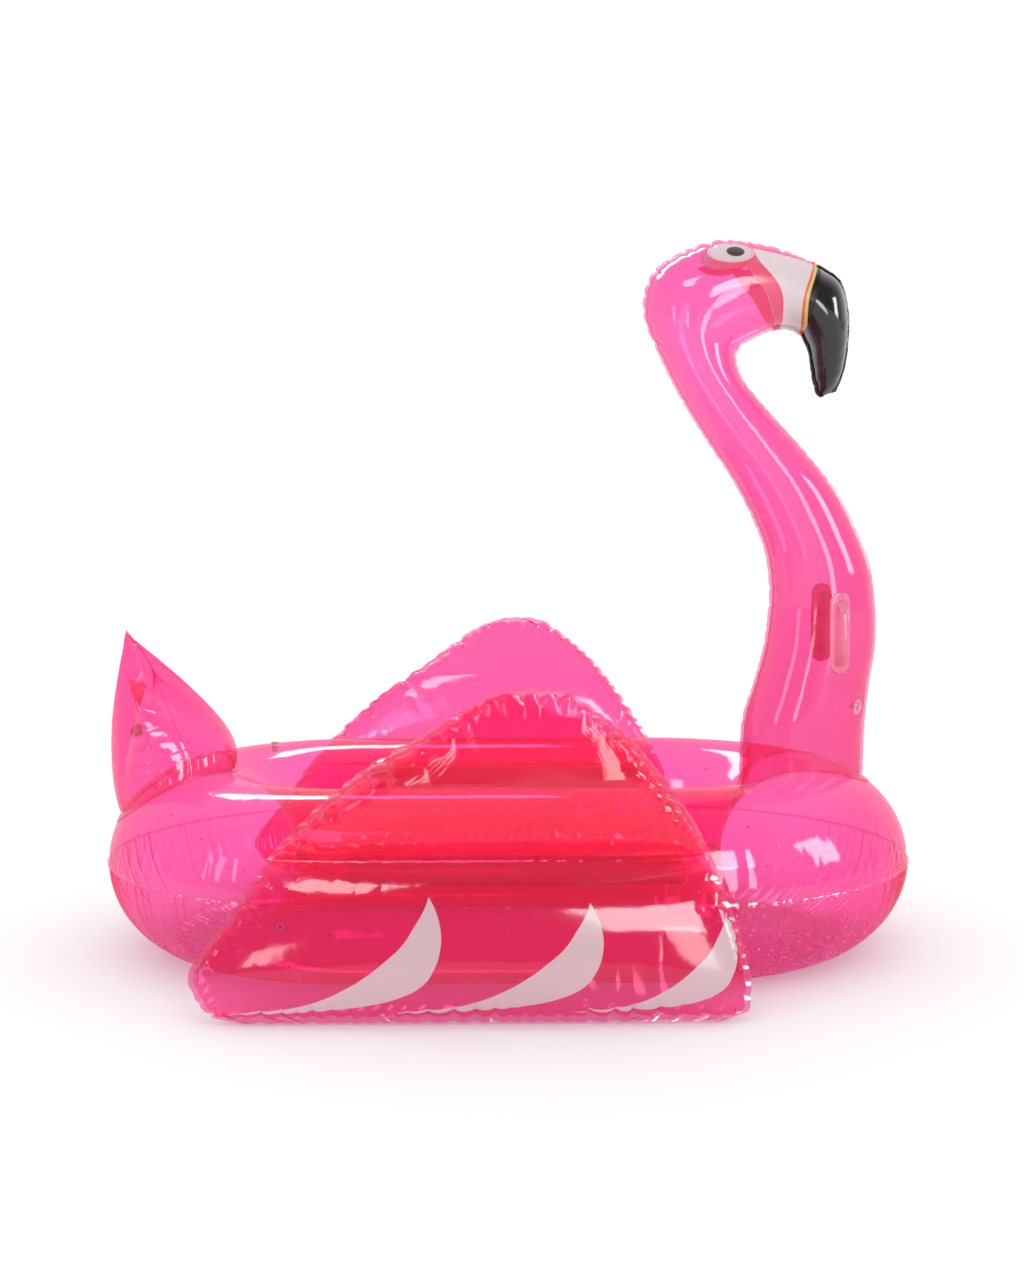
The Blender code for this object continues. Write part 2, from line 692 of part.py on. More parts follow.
necks = {side: neck_panel(f"neck_{word}_panel", side) for word, side in SIDES}
for word, side in SIDES:
    bill_rows = [section_points(section, side) for section in flat_rows(BILL_SECTIONS)]
    loft(f"bill_{word}_panel", bill_rows, FILM_BLACK)
    handle(f"handle_{word}", side)
collar("neck_collar", neck_foot())

tail_panel("tail_front_panel", 1)
tail_back = tail_panel("tail_back_panel", -1)
collar("tail_collar", tail_foot())

# Near which point each valve lies, on which side of the film, and which way its tether points.
RING_VALVE = ((-0.521, 0.262, 0.37), (0, 0, 1), (1, 0, 0))
NECK_VALVE = ((0.705, -0.095, 0.497), (0, -1, 0), (0, 0, 1))
TAIL_VALVE = ((-0.785, 0.09, 0.42), (-1, 0, 0), (0, 0, 1))
WING_VALVE_X = -0.46
WING_VALVE_Y = 0.55
WING_VALVE_Z = 0.14
valve("ring", ring_top, *RING_VALVE)
valve("neck", necks[-1], *NECK_VALVE)
valve("tail", tail_back, *TAIL_VALVE)

for word, side in SIDES:
    wing_panel(f"wing_{word}_outer_panel", side, 1)
    inner = wing_panel(f"wing_{word}_inner_panel", side, -1)
    wing_tab(f"wing_{word}_tab", side)
    near = (WING_VALVE_X, side * WING_VALVE_Y, WING_VALVE_Z)
    valve(f"wing_{word}", inner, near, (0, -side, 0), (1, 0, 0))
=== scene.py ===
"""Looks of the ride-on bird float: every film chamber as a smooth, puckered and welded film with
its flange, the printed head and feathers, moulded handles and valves, and the loose glitter."""

import json
import math
import random

import bpy
import numpy as np
from mathutils import Matrix, Vector, kdtree
from mathutils.bvhtree import BVHTree


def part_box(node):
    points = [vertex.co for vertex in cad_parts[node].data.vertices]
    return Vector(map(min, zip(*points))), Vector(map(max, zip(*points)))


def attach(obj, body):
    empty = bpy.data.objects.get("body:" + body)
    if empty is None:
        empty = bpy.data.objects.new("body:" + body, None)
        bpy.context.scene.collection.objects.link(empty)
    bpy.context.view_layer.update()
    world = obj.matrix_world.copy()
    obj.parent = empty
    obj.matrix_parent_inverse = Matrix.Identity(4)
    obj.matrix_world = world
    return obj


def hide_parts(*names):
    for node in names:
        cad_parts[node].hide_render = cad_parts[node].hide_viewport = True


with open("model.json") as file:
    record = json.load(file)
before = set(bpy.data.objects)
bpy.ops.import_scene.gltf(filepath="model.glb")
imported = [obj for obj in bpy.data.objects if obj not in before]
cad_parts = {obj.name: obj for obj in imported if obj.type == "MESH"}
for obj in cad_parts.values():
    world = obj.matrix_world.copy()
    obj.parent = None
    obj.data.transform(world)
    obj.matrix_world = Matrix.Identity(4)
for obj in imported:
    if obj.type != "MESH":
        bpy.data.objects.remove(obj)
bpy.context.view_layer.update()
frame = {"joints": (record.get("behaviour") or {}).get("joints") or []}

SIDES = (("left", 1), ("right", -1))

# ---- Ring: a tube round a path of two straights and two half circles ----
ring_low, ring_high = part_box("ring_top_panel")
PATH_STRAIGHT = 0.32      # half the length of the path's straights
PATH_RADIUS = 0.31        # of the path's half circles
TUBE_SIDE = 0.18          # half the tube's width along the straights
TUBE_END = 0.19           # half the tube's width at the front and back
TUBE_RISE = 0.1875        # half the tube's height
EQUATOR = ring_low.z - 0.00015
RING_FLANGE = 0.005
RING_COLUMNS = 1080
RING_ROWS = 44
SEAT_SAG = 0.05
SEAT_DROP = 0.0012

# ---- Neck and head: outer and inner weld edge, and half the depth, from the foot to the bill ----
NECK_SECTIONS = (
    ((0.4766, 0.325), (0.7365, 0.350), 0.118),
    ((0.4820, 0.455), (0.7385, 0.455), 0.120),
    ((0.5060, 0.540), (0.7470, 0.540), 0.117),
    ((0.5250, 0.615), (0.7570, 0.612), 0.114),
    ((0.5330, 0.680), (0.7575, 0.672), 0.112),
    ((0.5355, 0.730), (0.7520, 0.730), 0.110),
    ((0.5260, 0.805), (0.7415, 0.785), 0.108),
    ((0.5000, 0.875), (0.7150, 0.850), 0.106),
    ((0.4570, 0.956), (0.6700, 0.935), 0.104),
    ((0.4025, 1.037), (0.6030, 1.018), 0.103),
    ((0.3500, 1.120), (0.5350, 1.092), 0.105),
    ((0.3050, 1.207), (0.4800, 1.157), 0.110),
    ((0.2720, 1.290), (0.4640, 1.200), 0.117),
    ((0.2820, 1.360), (0.4680, 1.219), 0.120),
    ((0.3250, 1.403), (0.4770, 1.230), 0.120),
    ((0.4165, 1.439), (0.4980, 1.242), 0.114),
    ((0.5080, 1.433), (0.5300, 1.256), 0.102),
    ((0.5750, 1.414), (0.5650, 1.2595), 0.090),
    ((0.6280, 1.3920), (0.5940, 1.2465), 0.081),
)
BILL_SECTIONS = (
    ((0.6280, 1.3920), (0.5940, 1.2465), 0.081),
    ((0.6720, 1.360), (0.6080, 1.215), 0.074),
    ((0.6900, 1.300), (0.6120, 1.190), 0.062),
    ((0.6915, 1.240), (0.6170, 1.160), 0.048),
    ((0.6840, 1.180), (0.6235, 1.135), 0.030),
    ((0.6680, 1.136), (0.6330, 1.122), 0.001),
)
NECK_FLANGE = 0.008
NECK_COLUMNS = 620
NECK_ROWS = 64
BILL_COLUMNS = 60
FOOT_LIFT = 0.0012        # of a foot's edge over the ring's film

# ---- Tail: the crown's edge from the middle tip to the side tip, and the foot's oval ----
CROWN = ((0.0, 0.646, -0.785), (0.035, 0.598, -0.757), (0.065, 0.543, -0.733),
         (0.105, 0.552, -0.747), (0.138, 0.562, -0.758))  # (y, z, x)
TAIL_FOOT_X = -0.683
TAIL_FOOT_LENGTH = 0.113
TAIL_FOOT_WIDTH = 0.170
TAIL_FLANGE = 0.007
TAIL_FRONT_BULGE = 0.052
TAIL_BACK_BULGE = 0.027
TAIL_COLUMNS = 180
TAIL_ROWS = 130

# ---- Wings: weld line to the ring, then the outline as (height along the wing, back, front) ----
WELD_Y = 0.502
WELD_Z = 0.285
UPPER_LEAN = Vector((0.128, 0.320)).normalized()   # outwards, up
LOWER_LEAN = Vector((0.103, -0.273)).normalized()
WING_OUTLINE = (
    (-0.300, -0.490, 0.375), (-0.285, -0.548, 0.418), (-0.245, -0.580, 0.427), (-0.200, -0.585, 0.424),
    (-0.100, -0.515, 0.398), (0.000, -0.450, 0.362), (0.075, -0.388, 0.328), (0.165, -0.290, 0.272),
    (0.250, -0.172, 0.207), (0.310, -0.093, 0.142), (0.345, -0.030, 0.095), (0.353, 0.005, 0.060),
)
WING_FLANGE = 0.010
WELD_HALF = 0.004
WING_COLUMNS = 270
WING_ROWS_HALF = 72
WING_OUTER_DEPTH = 0.085
WING_LOWER_INNER_DEPTH = 0.036
WING_UPPER_INNER_DEPTH = 0.080
WING_FULL_WIDTH = 0.5     # where the wing is narrower than this, it is thinner too
WING_LOBE_LOW = 0.8       # below 1 puts the fullest part of the upper lobe under its middle
INNER_FILM = 10.0         # how far aside the inner film is laid out from the outer one

# ---- Glitter ----
GLITTER_FRONT = 1500
GLITTER_BACK = 500
GLITTER_STRAY = 260
FLAKE_RADIUS = 0.0021

# ---- Handles and valves: lengths and radii, as heights along their own axes ----
HANDLE_LENGTH = 0.166
HANDLE_WIDTH = 0.044
HANDLE_SPAN = 0.124
HANDLE_RISE = 0.030
GRIP_HALF_WIDTH = 0.0085
GRIP_HALF_DEPTH = 0.0045
VALVE_LIFT = 0.0014
FOLD_OUT = 0.0129         # from the valve's axis to its tether's fold line
FOLD_UP = 0.0051
SEAT_RADIUS = 0.016
SEAT_BORE = 0.0059
BOSS_RADIUS = 0.0082
BOSS_HEIGHT = 0.0030
STEM_RADIUS = 0.0055
STEM_BORE = 0.0042
STEM_TOP = 0.0049
STEM_FOOT = -0.0140
RIM_RADIUS = 0.0070
RIM_UNDER = 0.0034
BEAD_RADIUS = 0.0066
LUG_END = 0.0125
PLUG_UNDER = 0.0053
PLUG_TOP = 0.0069
PLUG_TIP = 0.0010

SEAM_PAIR = (0, 1, -1, -2)   # rows of a sheet that make its flanges

# ---- Film: how it takes light ----
STRETCH_TINT = 1.25        # power of the tint where the film is thickest
SLANT_TINT = 2.1           # power of the tint where the film is seen edge on
SLANT_POWER = 2.4
RIM_POWER = 4.5
RIM_GLOSS = 0.45
BASE_GLOSS = 0.034
WELD_CLOUD = 0.22          # how much milkier a weld is than the film
WELD_GLOSS = 0.05
MARK_CLOUD = 0.03
PRINT_FROM_BEHIND = 0.15   # strength of the feathers' ink seen through the film's back
CORAL_STRENGTH = 0.86


# ---- Sheets of film ----

def curve_through(rows, count):
    """Points along a Catmull-Rom curve through rows of numbers."""
    rows = np.array(rows, float)
    ends = np.vstack([2 * rows[0] - rows[1], rows, 2 * rows[-1] - rows[-2]])
    place = np.linspace(0, len(rows) - 1, count)
    low = np.minimum(place.astype(int), len(rows) - 2)
    t = (place - low)[:, None]
    before, start, end, after = ends[low], ends[low + 1], ends[low + 2], ends[low + 3]
    return 0.5 * (2 * start + (end - before) * t + (2 * before - 5 * start + 4 * end - after) * t ** 2
                  + (3 * start - before - 3 * end + after) * t ** 3)


def eased(count, crowding=0.5):
    """Shares from 0 to 1 that crowd together at both ends, where film puckers."""
    share = np.linspace(0, 1, count)
    return share - crowding * np.sin(2 * math.pi * share) / (2 * math.pi)


def lengths_along(points):
    steps = np.linalg.norm(np.diff(points, axis=0), axis=1)
    return np.concatenate([[0.0], np.cumsum(steps)])


def normals_of(points, closed=False):
    """Unit normals of a grid of points, from its own rows and columns."""
    if closed:
        wrapped = np.concatenate([points[-1:], points, points[:1]])
        along = (wrapped[2:] - wrapped[:-2]) / 2
    else:
        along = np.gradient(points, axis=0)
    normal = np.cross(along, np.gradient(points, axis=1))
    size = np.linalg.norm(normal, axis=2, keepdims=True)
    return normal / np.maximum(size, 1e-12)


def film_grid(name, points, closed=False, flat=None, weld_rows=(), weld_columns=()):
    """A plane cut into squares and drawn into the shape of a grid of points. flat gives the place
    of each point on the uncut film, which the printed pattern follows. The welded rows and columns
    are marked for the material."""
    if closed:
        points = np.concatenate([points, points[:1]])
    columns, rows = points.shape[:2]
    bpy.ops.object.select_all(action="DESELECT")
    bpy.ops.mesh.primitive_grid_add(x_subdivisions=columns - 1, y_subdivisions=rows - 1, size=1.0)
    sheet = bpy.context.object
    sheet.name = name
    mesh = sheet.data
    start = np.empty(len(mesh.vertices) * 3)
    mesh.vertices.foreach_get("co", start)
    start = start.reshape(-1, 3)
    i = np.rint((start[:, 0] + 0.5) * (columns - 1)).astype(int)
    j = np.rint((start[:, 1] + 0.5) * (rows - 1)).astype(int)
    mesh.vertices.foreach_set("co", points[i, j].ravel())
    if len(weld_rows) or len(weld_columns):
        in_rows = np.isin(j, np.array(weld_rows, int) % rows)
        in_columns = np.isin(i, np.array(weld_columns, int) % columns)
        welded = in_rows | in_columns
        mesh.attributes.new("weld", "FLOAT", "POINT").data.foreach_set("value", welded.astype(float))
    if flat is not None:
        corner = np.empty(len(mesh.loops), int)
        mesh.loops.foreach_get("vertex_index", corner)
        mesh.uv_layers[0].data.foreach_set("uv", flat[i, j][corner].ravel())
    mesh.update()
    return sheet


def weld(sheets, gap=2e-5):
    """Joins sheets into one chamber, closes their edges and turns their faces outwards."""
    bpy.ops.object.select_all(action="DESELECT")
    for sheet in sheets:
        sheet.select_set(True)
    chamber = sheets[0]
    bpy.context.view_layer.objects.active = chamber
    if len(sheets) > 1:
        bpy.ops.object.join()
    bpy.ops.object.mode_set(mode="EDIT")
    bpy.ops.mesh.select_all(action="SELECT")
    bpy.ops.mesh.remove_doubles(threshold=gap)
    bpy.ops.mesh.normals_make_consistent(inside=False)
    bpy.ops.object.mode_set(mode="OBJECT")
    bpy.ops.object.shade_smooth()
    return chamber


# ---- Puckers: where a seam is shorter than the film beside it, the film gathers into small
# pillows with sharp creases between them ----

def crease_places(length, seed, short, long):
    """Places of the creases along a seam, with uneven gaps between them."""
    draw = random.Random(seed)
    places = [0.0]
    while places[-1] < length:
        places.append(places[-1] + short + (long - short) * draw.random() ** 1.7)
    return np.array(places) * (length / places[-1])


class Puckers:
    """Height of the puckers at a place along a seam and a distance from it."""

    def __init__(self, length, seed, short=0.014, long=0.045, height=0.10, reach=1.3, draw_in=0.07):
        self.places = crease_places(length, seed, short, long)
        draw = random.Random(seed + 1)
        self.strength = np.array([0.45 + 0.75 * draw.random() for _ in self.places])
        self.height = height
        self.reach = reach
        self.draw_in = draw_in

    def pillow(self, along):
        at = np.clip(np.searchsorted(self.places, along, side="right") - 1, 0, len(self.places) - 2)
        gap = self.places[at + 1] - self.places[at]
        share = np.clip((along - self.places[at]) / gap, 0, 1)
        mix = share * share * (3 - 2 * share)
        strength = self.strength[at] * (1 - mix) + self.strength[at + 1] * mix
        return np.sin(math.pi * share) ** 0.7, gap, strength

    def rise(self, along, away):
        swell, gap, strength = self.pillow(along)
        fade = np.exp(-(away / (self.reach * gap * (0.6 + strength))) ** 1.2)
        start = np.clip(away / 0.004, 0, 1)
        return self.height * gap * strength * (swell - 0.75) * fade * start

    def pull(self, along):
        """How far a crease draws the seam in."""
        swell, gap, strength = self.pillow(along)
        return self.draw_in * gap * strength * (1 - swell)


def seam_places(points, seam):
    """For each point, how far along the seam its nearest place is, and how far off it lies."""
    whole = lengths_along(seam)
    along = np.arange(0.0, whole[-1], 0.0007)
    seam = np.stack([np.interp(along, whole, seam[:, axis]) for axis in range(3)], axis=1)
    tree = kdtree.KDTree(len(seam))
    for index, place in enumerate(seam):
        tree.insert(place, index)
    tree.balance()
    flat = points.reshape(-1, 3)
    found = [tree.find(point) for point in flat]
    index = np.array([hit[1] for hit in found])
    away = np.array([hit[2] for hit in found])
    shape = points.shape[:2]
    return along[index].reshape(shape), away.reshape(shape)


# ---- Ring ----

def tube_width(lean):
    return TUBE_SIDE + (TUBE_END - TUBE_SIDE) * lean * lean


def ring_path(count):
    """Centres, outward normals and half widths at equal steps along the tube's path."""
    half_circle = math.pi * PATH_RADIUS
    straight = 2 * PATH_STRAIGHT
    whole = 2 * (half_circle + straight)
    centres, normals, widths = [], [], []
    for step in range(count):
        way = whole * step / count
        sign = 1
        if way >= whole / 2:
            way -= whole / 2
            sign = -1
        if way < straight:
            normals.append((0, sign, 0))
            centres.append((sign * (PATH_STRAIGHT - way), sign * PATH_RADIUS, 0))
        else:
            angle = (way - straight) / PATH_RADIUS
            normal = (-sign * math.sin(angle), sign * math.cos(angle), 0)
            normals.append(normal)
            centres.append((-sign * PATH_STRAIGHT + PATH_RADIUS * normal[0], PATH_RADIUS * normal[1], 0))
        widths.append(tube_width(normals[-1][0]))
    return np.array(centres), np.array(normals), np.array(widths)


def ring_surface(x, y):
    """Point on the ring's upper film over (x, y), and its outward normal."""
    over = max(abs(x) - PATH_STRAIGHT, 0.0)
    reach = math.hypot(over, y)
    outward = Vector((math.copysign(over, x), y, 0)) / reach
    half = tube_width(over / reach)
    share = (reach - PATH_RADIUS) / half
    height = TUBE_RISE * math.sqrt(max(1 - share * share, 0.0))
    normal = outward * (share / half) + Vector((0, 0, height / TUBE_RISE ** 2))
    return Vector((x, y, EQUATOR + height)), normal.normalized()


def over_ring(x, y, lift=FOOT_LIFT):
    surface, normal = ring_surface(x, y)
    return surface + normal * lift


def ring_chamber():
    centres, outward, widths = ring_path(RING_COLUMNS)
    angles = math.pi * eased(RING_ROWS - 1)
    share = np.concatenate([[1.0], np.cos(angles), [-1.0]])
    height = np.concatenate([[0.0], np.sin(angles), [0.0]])
    flange = np.zeros(len(share))
    flange[0], flange[-1] = RING_FLANGE, -RING_FLANGE
    reach = share[None, :] * widths[:, None] + flange[None, :]
    base = centres[:, None, :] + outward[:, None, :] * reach[:, :, None]
    outer_seam = centres + outward * widths[:, None]
    inner_seam = centres - outward * widths[:, None]
    along_outer = lengths_along(np.concatenate([outer_seam, outer_seam[:1]]))
    along_inner = lengths_along(np.concatenate([inner_seam, inner_seam[:1]]))
    over_seam = Puckers(along_outer[-1], 11, 0.024, 0.060, 0.085, 1.1, 0.05)
    under_seam = Puckers(along_outer[-1], 14, 0.018, 0.038, 0.42, 3.2, 0.06)
    inner = Puckers(along_inner[-1], 12, 0.014, 0.036, 0.12, 1.4)
    bend = np.abs(outward[:, 0])[:, None]
    arc = TUBE_RISE * angles
    away_outer = np.concatenate([[0.0], arc, [arc[-1]]])[None, :]
    away_inner = np.concatenate([[arc[-1]], arc[-1] - arc, [0.0]])[None, :]
    sheets = []
    for side, outer in ((1, over_seam), (-1, under_seam)):
        points = base.copy()
        points[:, :, 2] = EQUATOR + side * height * TUBE_RISE
        normal = normals_of(points, closed=True) * side
        rise = outer.rise(along_outer[:-1, None], away_outer) * (0.45 + 0.75 * bend)
        rise = rise + inner.rise(along_inner[:-1, None], away_inner) * 0.8
        rise[:, :2] = 0
        rise[:, -2:] = 0
        points += normal * rise[:, :, None]
        for rows, puckers, along, sign in (((0, 1), over_seam, along_outer, -1),
                                           ((-1, -2), inner, along_inner, 1)):
            pull = puckers.pull(along[:-1]) * sign
            for row in rows:
                points[:, row] += outward * pull[:, None]
        for row, puckers, along in ((0, over_seam, along_outer), (-1, inner, along_inner)):
            swell, gap, strength = puckers.pillow(along[:-1])
            points[:, row, 2] += 0.04 * gap * strength * (swell - 0.6)
        points[:, :, 2] = np.maximum(points[:, :, 2], 0.0002)
        sheets.append(film_grid("ring_film", points, closed=True, weld_rows=SEAM_PAIR))
    return weld(sheets)


def seat_sheet():
    centres, outward, widths = ring_path(360)
    rows = 30
    edge = centres - outward * (widths + 0.001)[:, None]
    middle = np.zeros_like(edge)
    middle[:, 0] = np.clip(edge[:, 0], -PATH_STRAIGHT, PATH_STRAIGHT)
    share = np.linspace(0, 1, rows)
    points = edge[:, None] + (middle - edge)[:, None] * share[None, :, None]
    fall = np.clip((share - 0.05) / 0.95, 0, 1)
    points[:, :, 2] = EQUATOR - SEAT_DROP - SEAT_SAG * np.sin(fall * math.pi / 2)[None, :]
    along = lengths_along(edge)
    gathers = Puckers(along[-1], 31, 0.02, 0.06, 0.05, 1.2)
    rise = gathers.rise(along[:, None], np.linalg.norm(points - edge[:, None], axis=2))
    points[:, :, 2] += rise - 0.002 * np.clip(fall * 8, 0, 1)[None, :]
    return weld([film_grid("seat_sheet", points, closed=True)])


# ---- Neck, head and bill ----

def section_grid(sections, count, rows, side):
    """Points of one panel of a tube between two seams, with the flange outside each seam."""
    table = curve_through([(*outer, *inner, depth) for outer, inner, depth in sections], count)
    outer = np.stack([table[:, 0], np.zeros(count), table[:, 1]], axis=1)
    inner = np.stack([table[:, 2], np.zeros(count), table[:, 3]], axis=1)
    depth = table[:, 4]
    chord = outer - inner
    chord /= np.linalg.norm(chord, axis=1, keepdims=True)
    outer_seam, inner_seam = outer - chord * NECK_FLANGE, inner + chord * NECK_FLANGE
    middle, half = (outer_seam + inner_seam) / 2, (outer_seam - inner_seam) / 2
    angles = math.pi * eased(rows - 1)
    points = np.empty((count, rows + 1, 3))
    points[:, 1:-1] = middle[:, None] + half[:, None] * np.cos(angles)[None, :, None]
    points[:, 1:-1, 1] += side * depth[:, None] * np.sin(angles)[None, :]
    points[:, 0], points[:, -1] = outer, inner
    return points, chord, depth


def pucker_tube(points, chord, side, outer, inner, outer_share, inner_share):
    """Draws the puckers of both seams into one panel of a tube."""
    outer_along = lengths_along(points[:, 1])
    inner_along = lengths_along(points[:, -2])
    steps = np.linalg.norm(np.diff(points[:, 1:-1], axis=1), axis=2)
    arc = np.concatenate([np.zeros((len(points), 2)), np.cumsum(steps, axis=1)], axis=1)
    arc = np.concatenate([arc, arc[:, -1:]], axis=1)
    normal = normals_of(points)
    normal *= np.where(normal[:, points.shape[1] // 2, 1] * side > 0, 1, -1)[:, None, None]
    rise = outer.rise(outer_along[:, None], arc) * outer_share(outer_along)[:, None]
    rise = rise + inner.rise(inner_along[:, None], arc[:, -1:] - arc) * inner_share(inner_along)[:, None]
    rise[:, :2] = 0
    rise[:, -2:] = 0
    points = points + normal * rise[:, :, None]
    for rows, puckers, along, share, sign in (((0, 1, 2), outer, outer_along, outer_share, -1),
                                              ((-1, -2, -3), inner, inner_along, inner_share, 1)):
        pull = puckers.pull(along) * share(along) * sign
        for row in rows:
            points[:, row] += chord * pull[:, None]
    for row, puckers, along in ((0, outer, outer_along), (-1, inner, inner_along)):
        swell, gap, strength = puckers.pillow(along)
        points[:, row, 1] += 0.12 * gap * strength * (swell - 0.6)
    return points


def bump(along, middle, width):
    return np.exp(-((along - middle) / width) ** 2)


def neck_chamber():
    sheets = []
    for word, side in SIDES:
        points, chord, depth = section_grid(NECK_SECTIONS, NECK_COLUMNS, NECK_ROWS, side)
        outer_length = lengths_along(points[:, 1])[-1]
        inner_length = lengths_along(points[:, -2])[-1]
        outer = Puckers(outer_length, 21, 0.014, 0.040, 0.22, 0.60, 0.20)
        inner = Puckers(inner_length, 22, 0.012, 0.030, 0.22, 1.1, 0.14)
        flat = points[:, :, (0, 2)].copy()
        head_outer, hook_inner = outer_length * 0.80, inner_length * 0.80
        points = pucker_tube(
            points, chord, side, outer, inner,
            lambda along: 0.35 + 0.75 * bump(along, head_outer, 0.25) + 0.3 * bump(along, 0.0, 0.06),
            lambda along: 0.30 + 0.90 * bump(along, hook_inner, 0.13) + 0.3 * bump(along, 0.0, 0.05))
        stand_on_ring(points, NECK_COLUMNS // (len(NECK_SECTIONS) - 1))
        sheets.append(film_grid("neck_film", points, flat=flat, weld_rows=SEAM_PAIR))
    return weld(sheets)


def stand_on_ring(points, columns):
    """Brings the foot of a tube down to the ring's film, and gathers it where it is welded on."""
    foot = np.array([over_ring(x, y) for x, y in points[0, :, :2]])
    top = points[columns].copy()
    for column in range(columns):
        share = column / columns
        points[column, :, 2] = foot[:, 2] * (1 - share) + top[:, 2] * share
    along = lengths_along(foot)
    gathers = Puckers(along[-1], 23, 0.016, 0.045, 0.10, 0.6)
    normal = normals_of(points)
    middle = points.shape[1] // 2
    side = np.sign(points[0, middle, 1])
    normal *= np.where(normal[:, middle, 1] * side > 0, 1, -1)[:, None, None]
    away = np.linalg.norm(points - foot[None], axis=2)
    rise = gathers.rise(along[None, :], away)
    rise[:, :2] = 0
    rise[:, -2:] = 0
    points += normal * rise[:, :, None]


def bill_chamber():
    sheets = []
    for word, side in SIDES:
        points, chord, depth = section_grid(BILL_SECTIONS, BILL_COLUMNS, NECK_ROWS, side)
        outer = Puckers(lengths_along(points[:, 1])[-1], 41, 0.022, 0.06, 0.06, 1.0)
        inner = Puckers(lengths_along(points[:, -2])[-1], 42, 0.018, 0.05, 0.08, 1.3)
        tip = lambda along: 0.3 + 0.7 * (along / along[-1]) ** 2
        points = pucker_tube(points, chord, side, outer, inner, tip, tip)
        points[0] = section_grid(BILL_SECTIONS, BILL_COLUMNS, NECK_ROWS, side)[0][0]
        sheets.append(film_grid("bill_film", points))
    return weld(sheets)


def foot_outline(middle_x, length, width, count=160):
    angles = [2 * math.pi * step / count for step in range(count)]
    return [Vector((middle_x + length * math.cos(a), width * math.sin(a))) for a in angles]


def weld_band(name, outline, inside, outside):
    """Double band of film that is welded down on the ring round a foot."""
    middle = sum(outline, Vector((0, 0))) / len(outline)
    offsets = np.linspace(-inside, outside, 9)
    rows = []
    for point in outline:
        away = (point - middle).normalized()
        row = []
        for offset in offsets:
            ridge = 0.0009 * math.exp(-((offset - 0.004) / 0.0016) ** 2)
            row.append(over_ring(*(point + away * offset), lift=0.0010 + ridge))
        rows.append(row)
    band = weld([film_grid(name, np.array(rows, float), closed=True)])
    return thicken(band, 0.0006)


def thicken(piece, depth):
    solid = piece.modifiers.new("film", "SOLIDIFY")
    solid.thickness = depth
    solid.offset = 1.0
    bpy.context.view_layer.objects.active = piece
    bpy.ops.object.modifier_apply(modifier="film")
    return piece


# ---- Tail ----

def crown_edge(share):
    """Points on the crown's edge; share runs from 0 at the middle tip to -1 or 1 at a side tip."""
    y, z, x = np.array(CROWN).T
    place = np.abs(share) * (len(CROWN) - 1)
    knots = np.arange(len(CROWN))
    return np.stack([np.interp(place, knots, x), np.sign(share) * np.interp(place, knots, y),
                     np.interp(place, knots, z)], axis=-1)


def tail_chamber():
    share = np.linspace(-1, 1, TAIL_COLUMNS)
    rise = eased(TAIL_ROWS)
    top = crown_edge(share)
    sheets = []
    for side in (1, -1):
        angle = share * math.pi / 2
        foot = np.array([over_ring(TAIL_FOOT_X + side * TAIL_FOOT_LENGTH * math.cos(a),
                                   TAIL_FOOT_WIDTH * math.sin(a)) for a in angle])
        points = foot[:, None] + (top - foot)[:, None] * rise[None, :, None]
        bulge = TAIL_FRONT_BULGE if side > 0 else TAIL_BACK_BULGE
        swell = np.sin(math.pi * rise ** 0.75)[None, :] * np.cos(angle)[:, None] ** 0.8
        points[:, :, 0] += side * bulge * swell
        crown_out = np.stack([np.zeros(TAIL_COLUMNS), top[:, 1] * 0.4, np.full(TAIL_COLUMNS, 0.12)], axis=1)
        crown_out /= np.linalg.norm(crown_out, axis=1, keepdims=True)
        seam = np.concatenate([points[0, :-1], points[:, -1], points[-1, -2::-1]])
        along, away = seam_places(points, seam)
        crown = Puckers(lengths_along(seam)[-1], 51, 0.016, 0.050, 0.13, 0.8)
        gathers = Puckers(lengths_along(foot)[-1], 52, 0.018, 0.05, 0.09, 0.6)
        normal = normals_of(points)
        if normal[TAIL_COLUMNS // 2, TAIL_ROWS // 2, 0] * side < 0:
            normal = -normal
        height = crown.rise(along, away)
        height += gathers.rise(lengths_along(foot)[:, None], np.linalg.norm(points - foot[:, None], axis=2))
        height[0], height[-1], height[:, -1] = 0, 0, 0
        points += normal * height[:, :, None]
        edge = points[:, -1:] + crown_out[:, None] * TAIL_FLANGE
        points = np.concatenate([points, edge], axis=1)
        left, right = points[:1].copy(), points[-1:].copy()
        left[:, :, 1] -= TAIL_FLANGE
        right[:, :, 1] += TAIL_FLANGE
        points = np.concatenate([left, points, right])
        for end in (0, -1):
            points[end, 0] = over_ring(points[end, 0, 0], points[end, 0, 1])
        sheets.append(film_grid("tail_film", points, weld_rows=(-1, -2), weld_columns=SEAM_PAIR))
    return weld(sheets)


# ---- Wings ----

def wing_levels():
    low, high = WING_OUTLINE[0][0] + WING_FLANGE, WING_OUTLINE[-1][0] - WING_FLANGE
    lower = low + (-WELD_HALF - low) * eased(WING_ROWS_HALF, 0.6)
    upper = WELD_HALF + (high - WELD_HALF) * eased(WING_ROWS_HALF + 8, 0.6)
    return np.concatenate([[WING_OUTLINE[0][0]], lower, upper, [WING_OUTLINE[-1][0]]])


def wing_plan():
    """Level and place along X of every point of the wing's film, laid flat."""
    levels = wing_levels()
    table = curve_through(WING_OUTLINE, 400)
    order = np.argsort(table[:, 0])
    table = table[order]
    back = np.interp(levels, table[:, 0], table[:, 1])
    front = np.interp(levels, table[:, 0], table[:, 2])
    across = eased(WING_COLUMNS, 0.45)
    inner = back[None, :] + WING_FLANGE + across[:, None] * (front - back - 2 * WING_FLANGE)[None, :]
    x = np.concatenate([back[None, :], inner, front[None, :]])
    return x, np.broadcast_to(levels[None, :], x.shape), across, levels, front - back


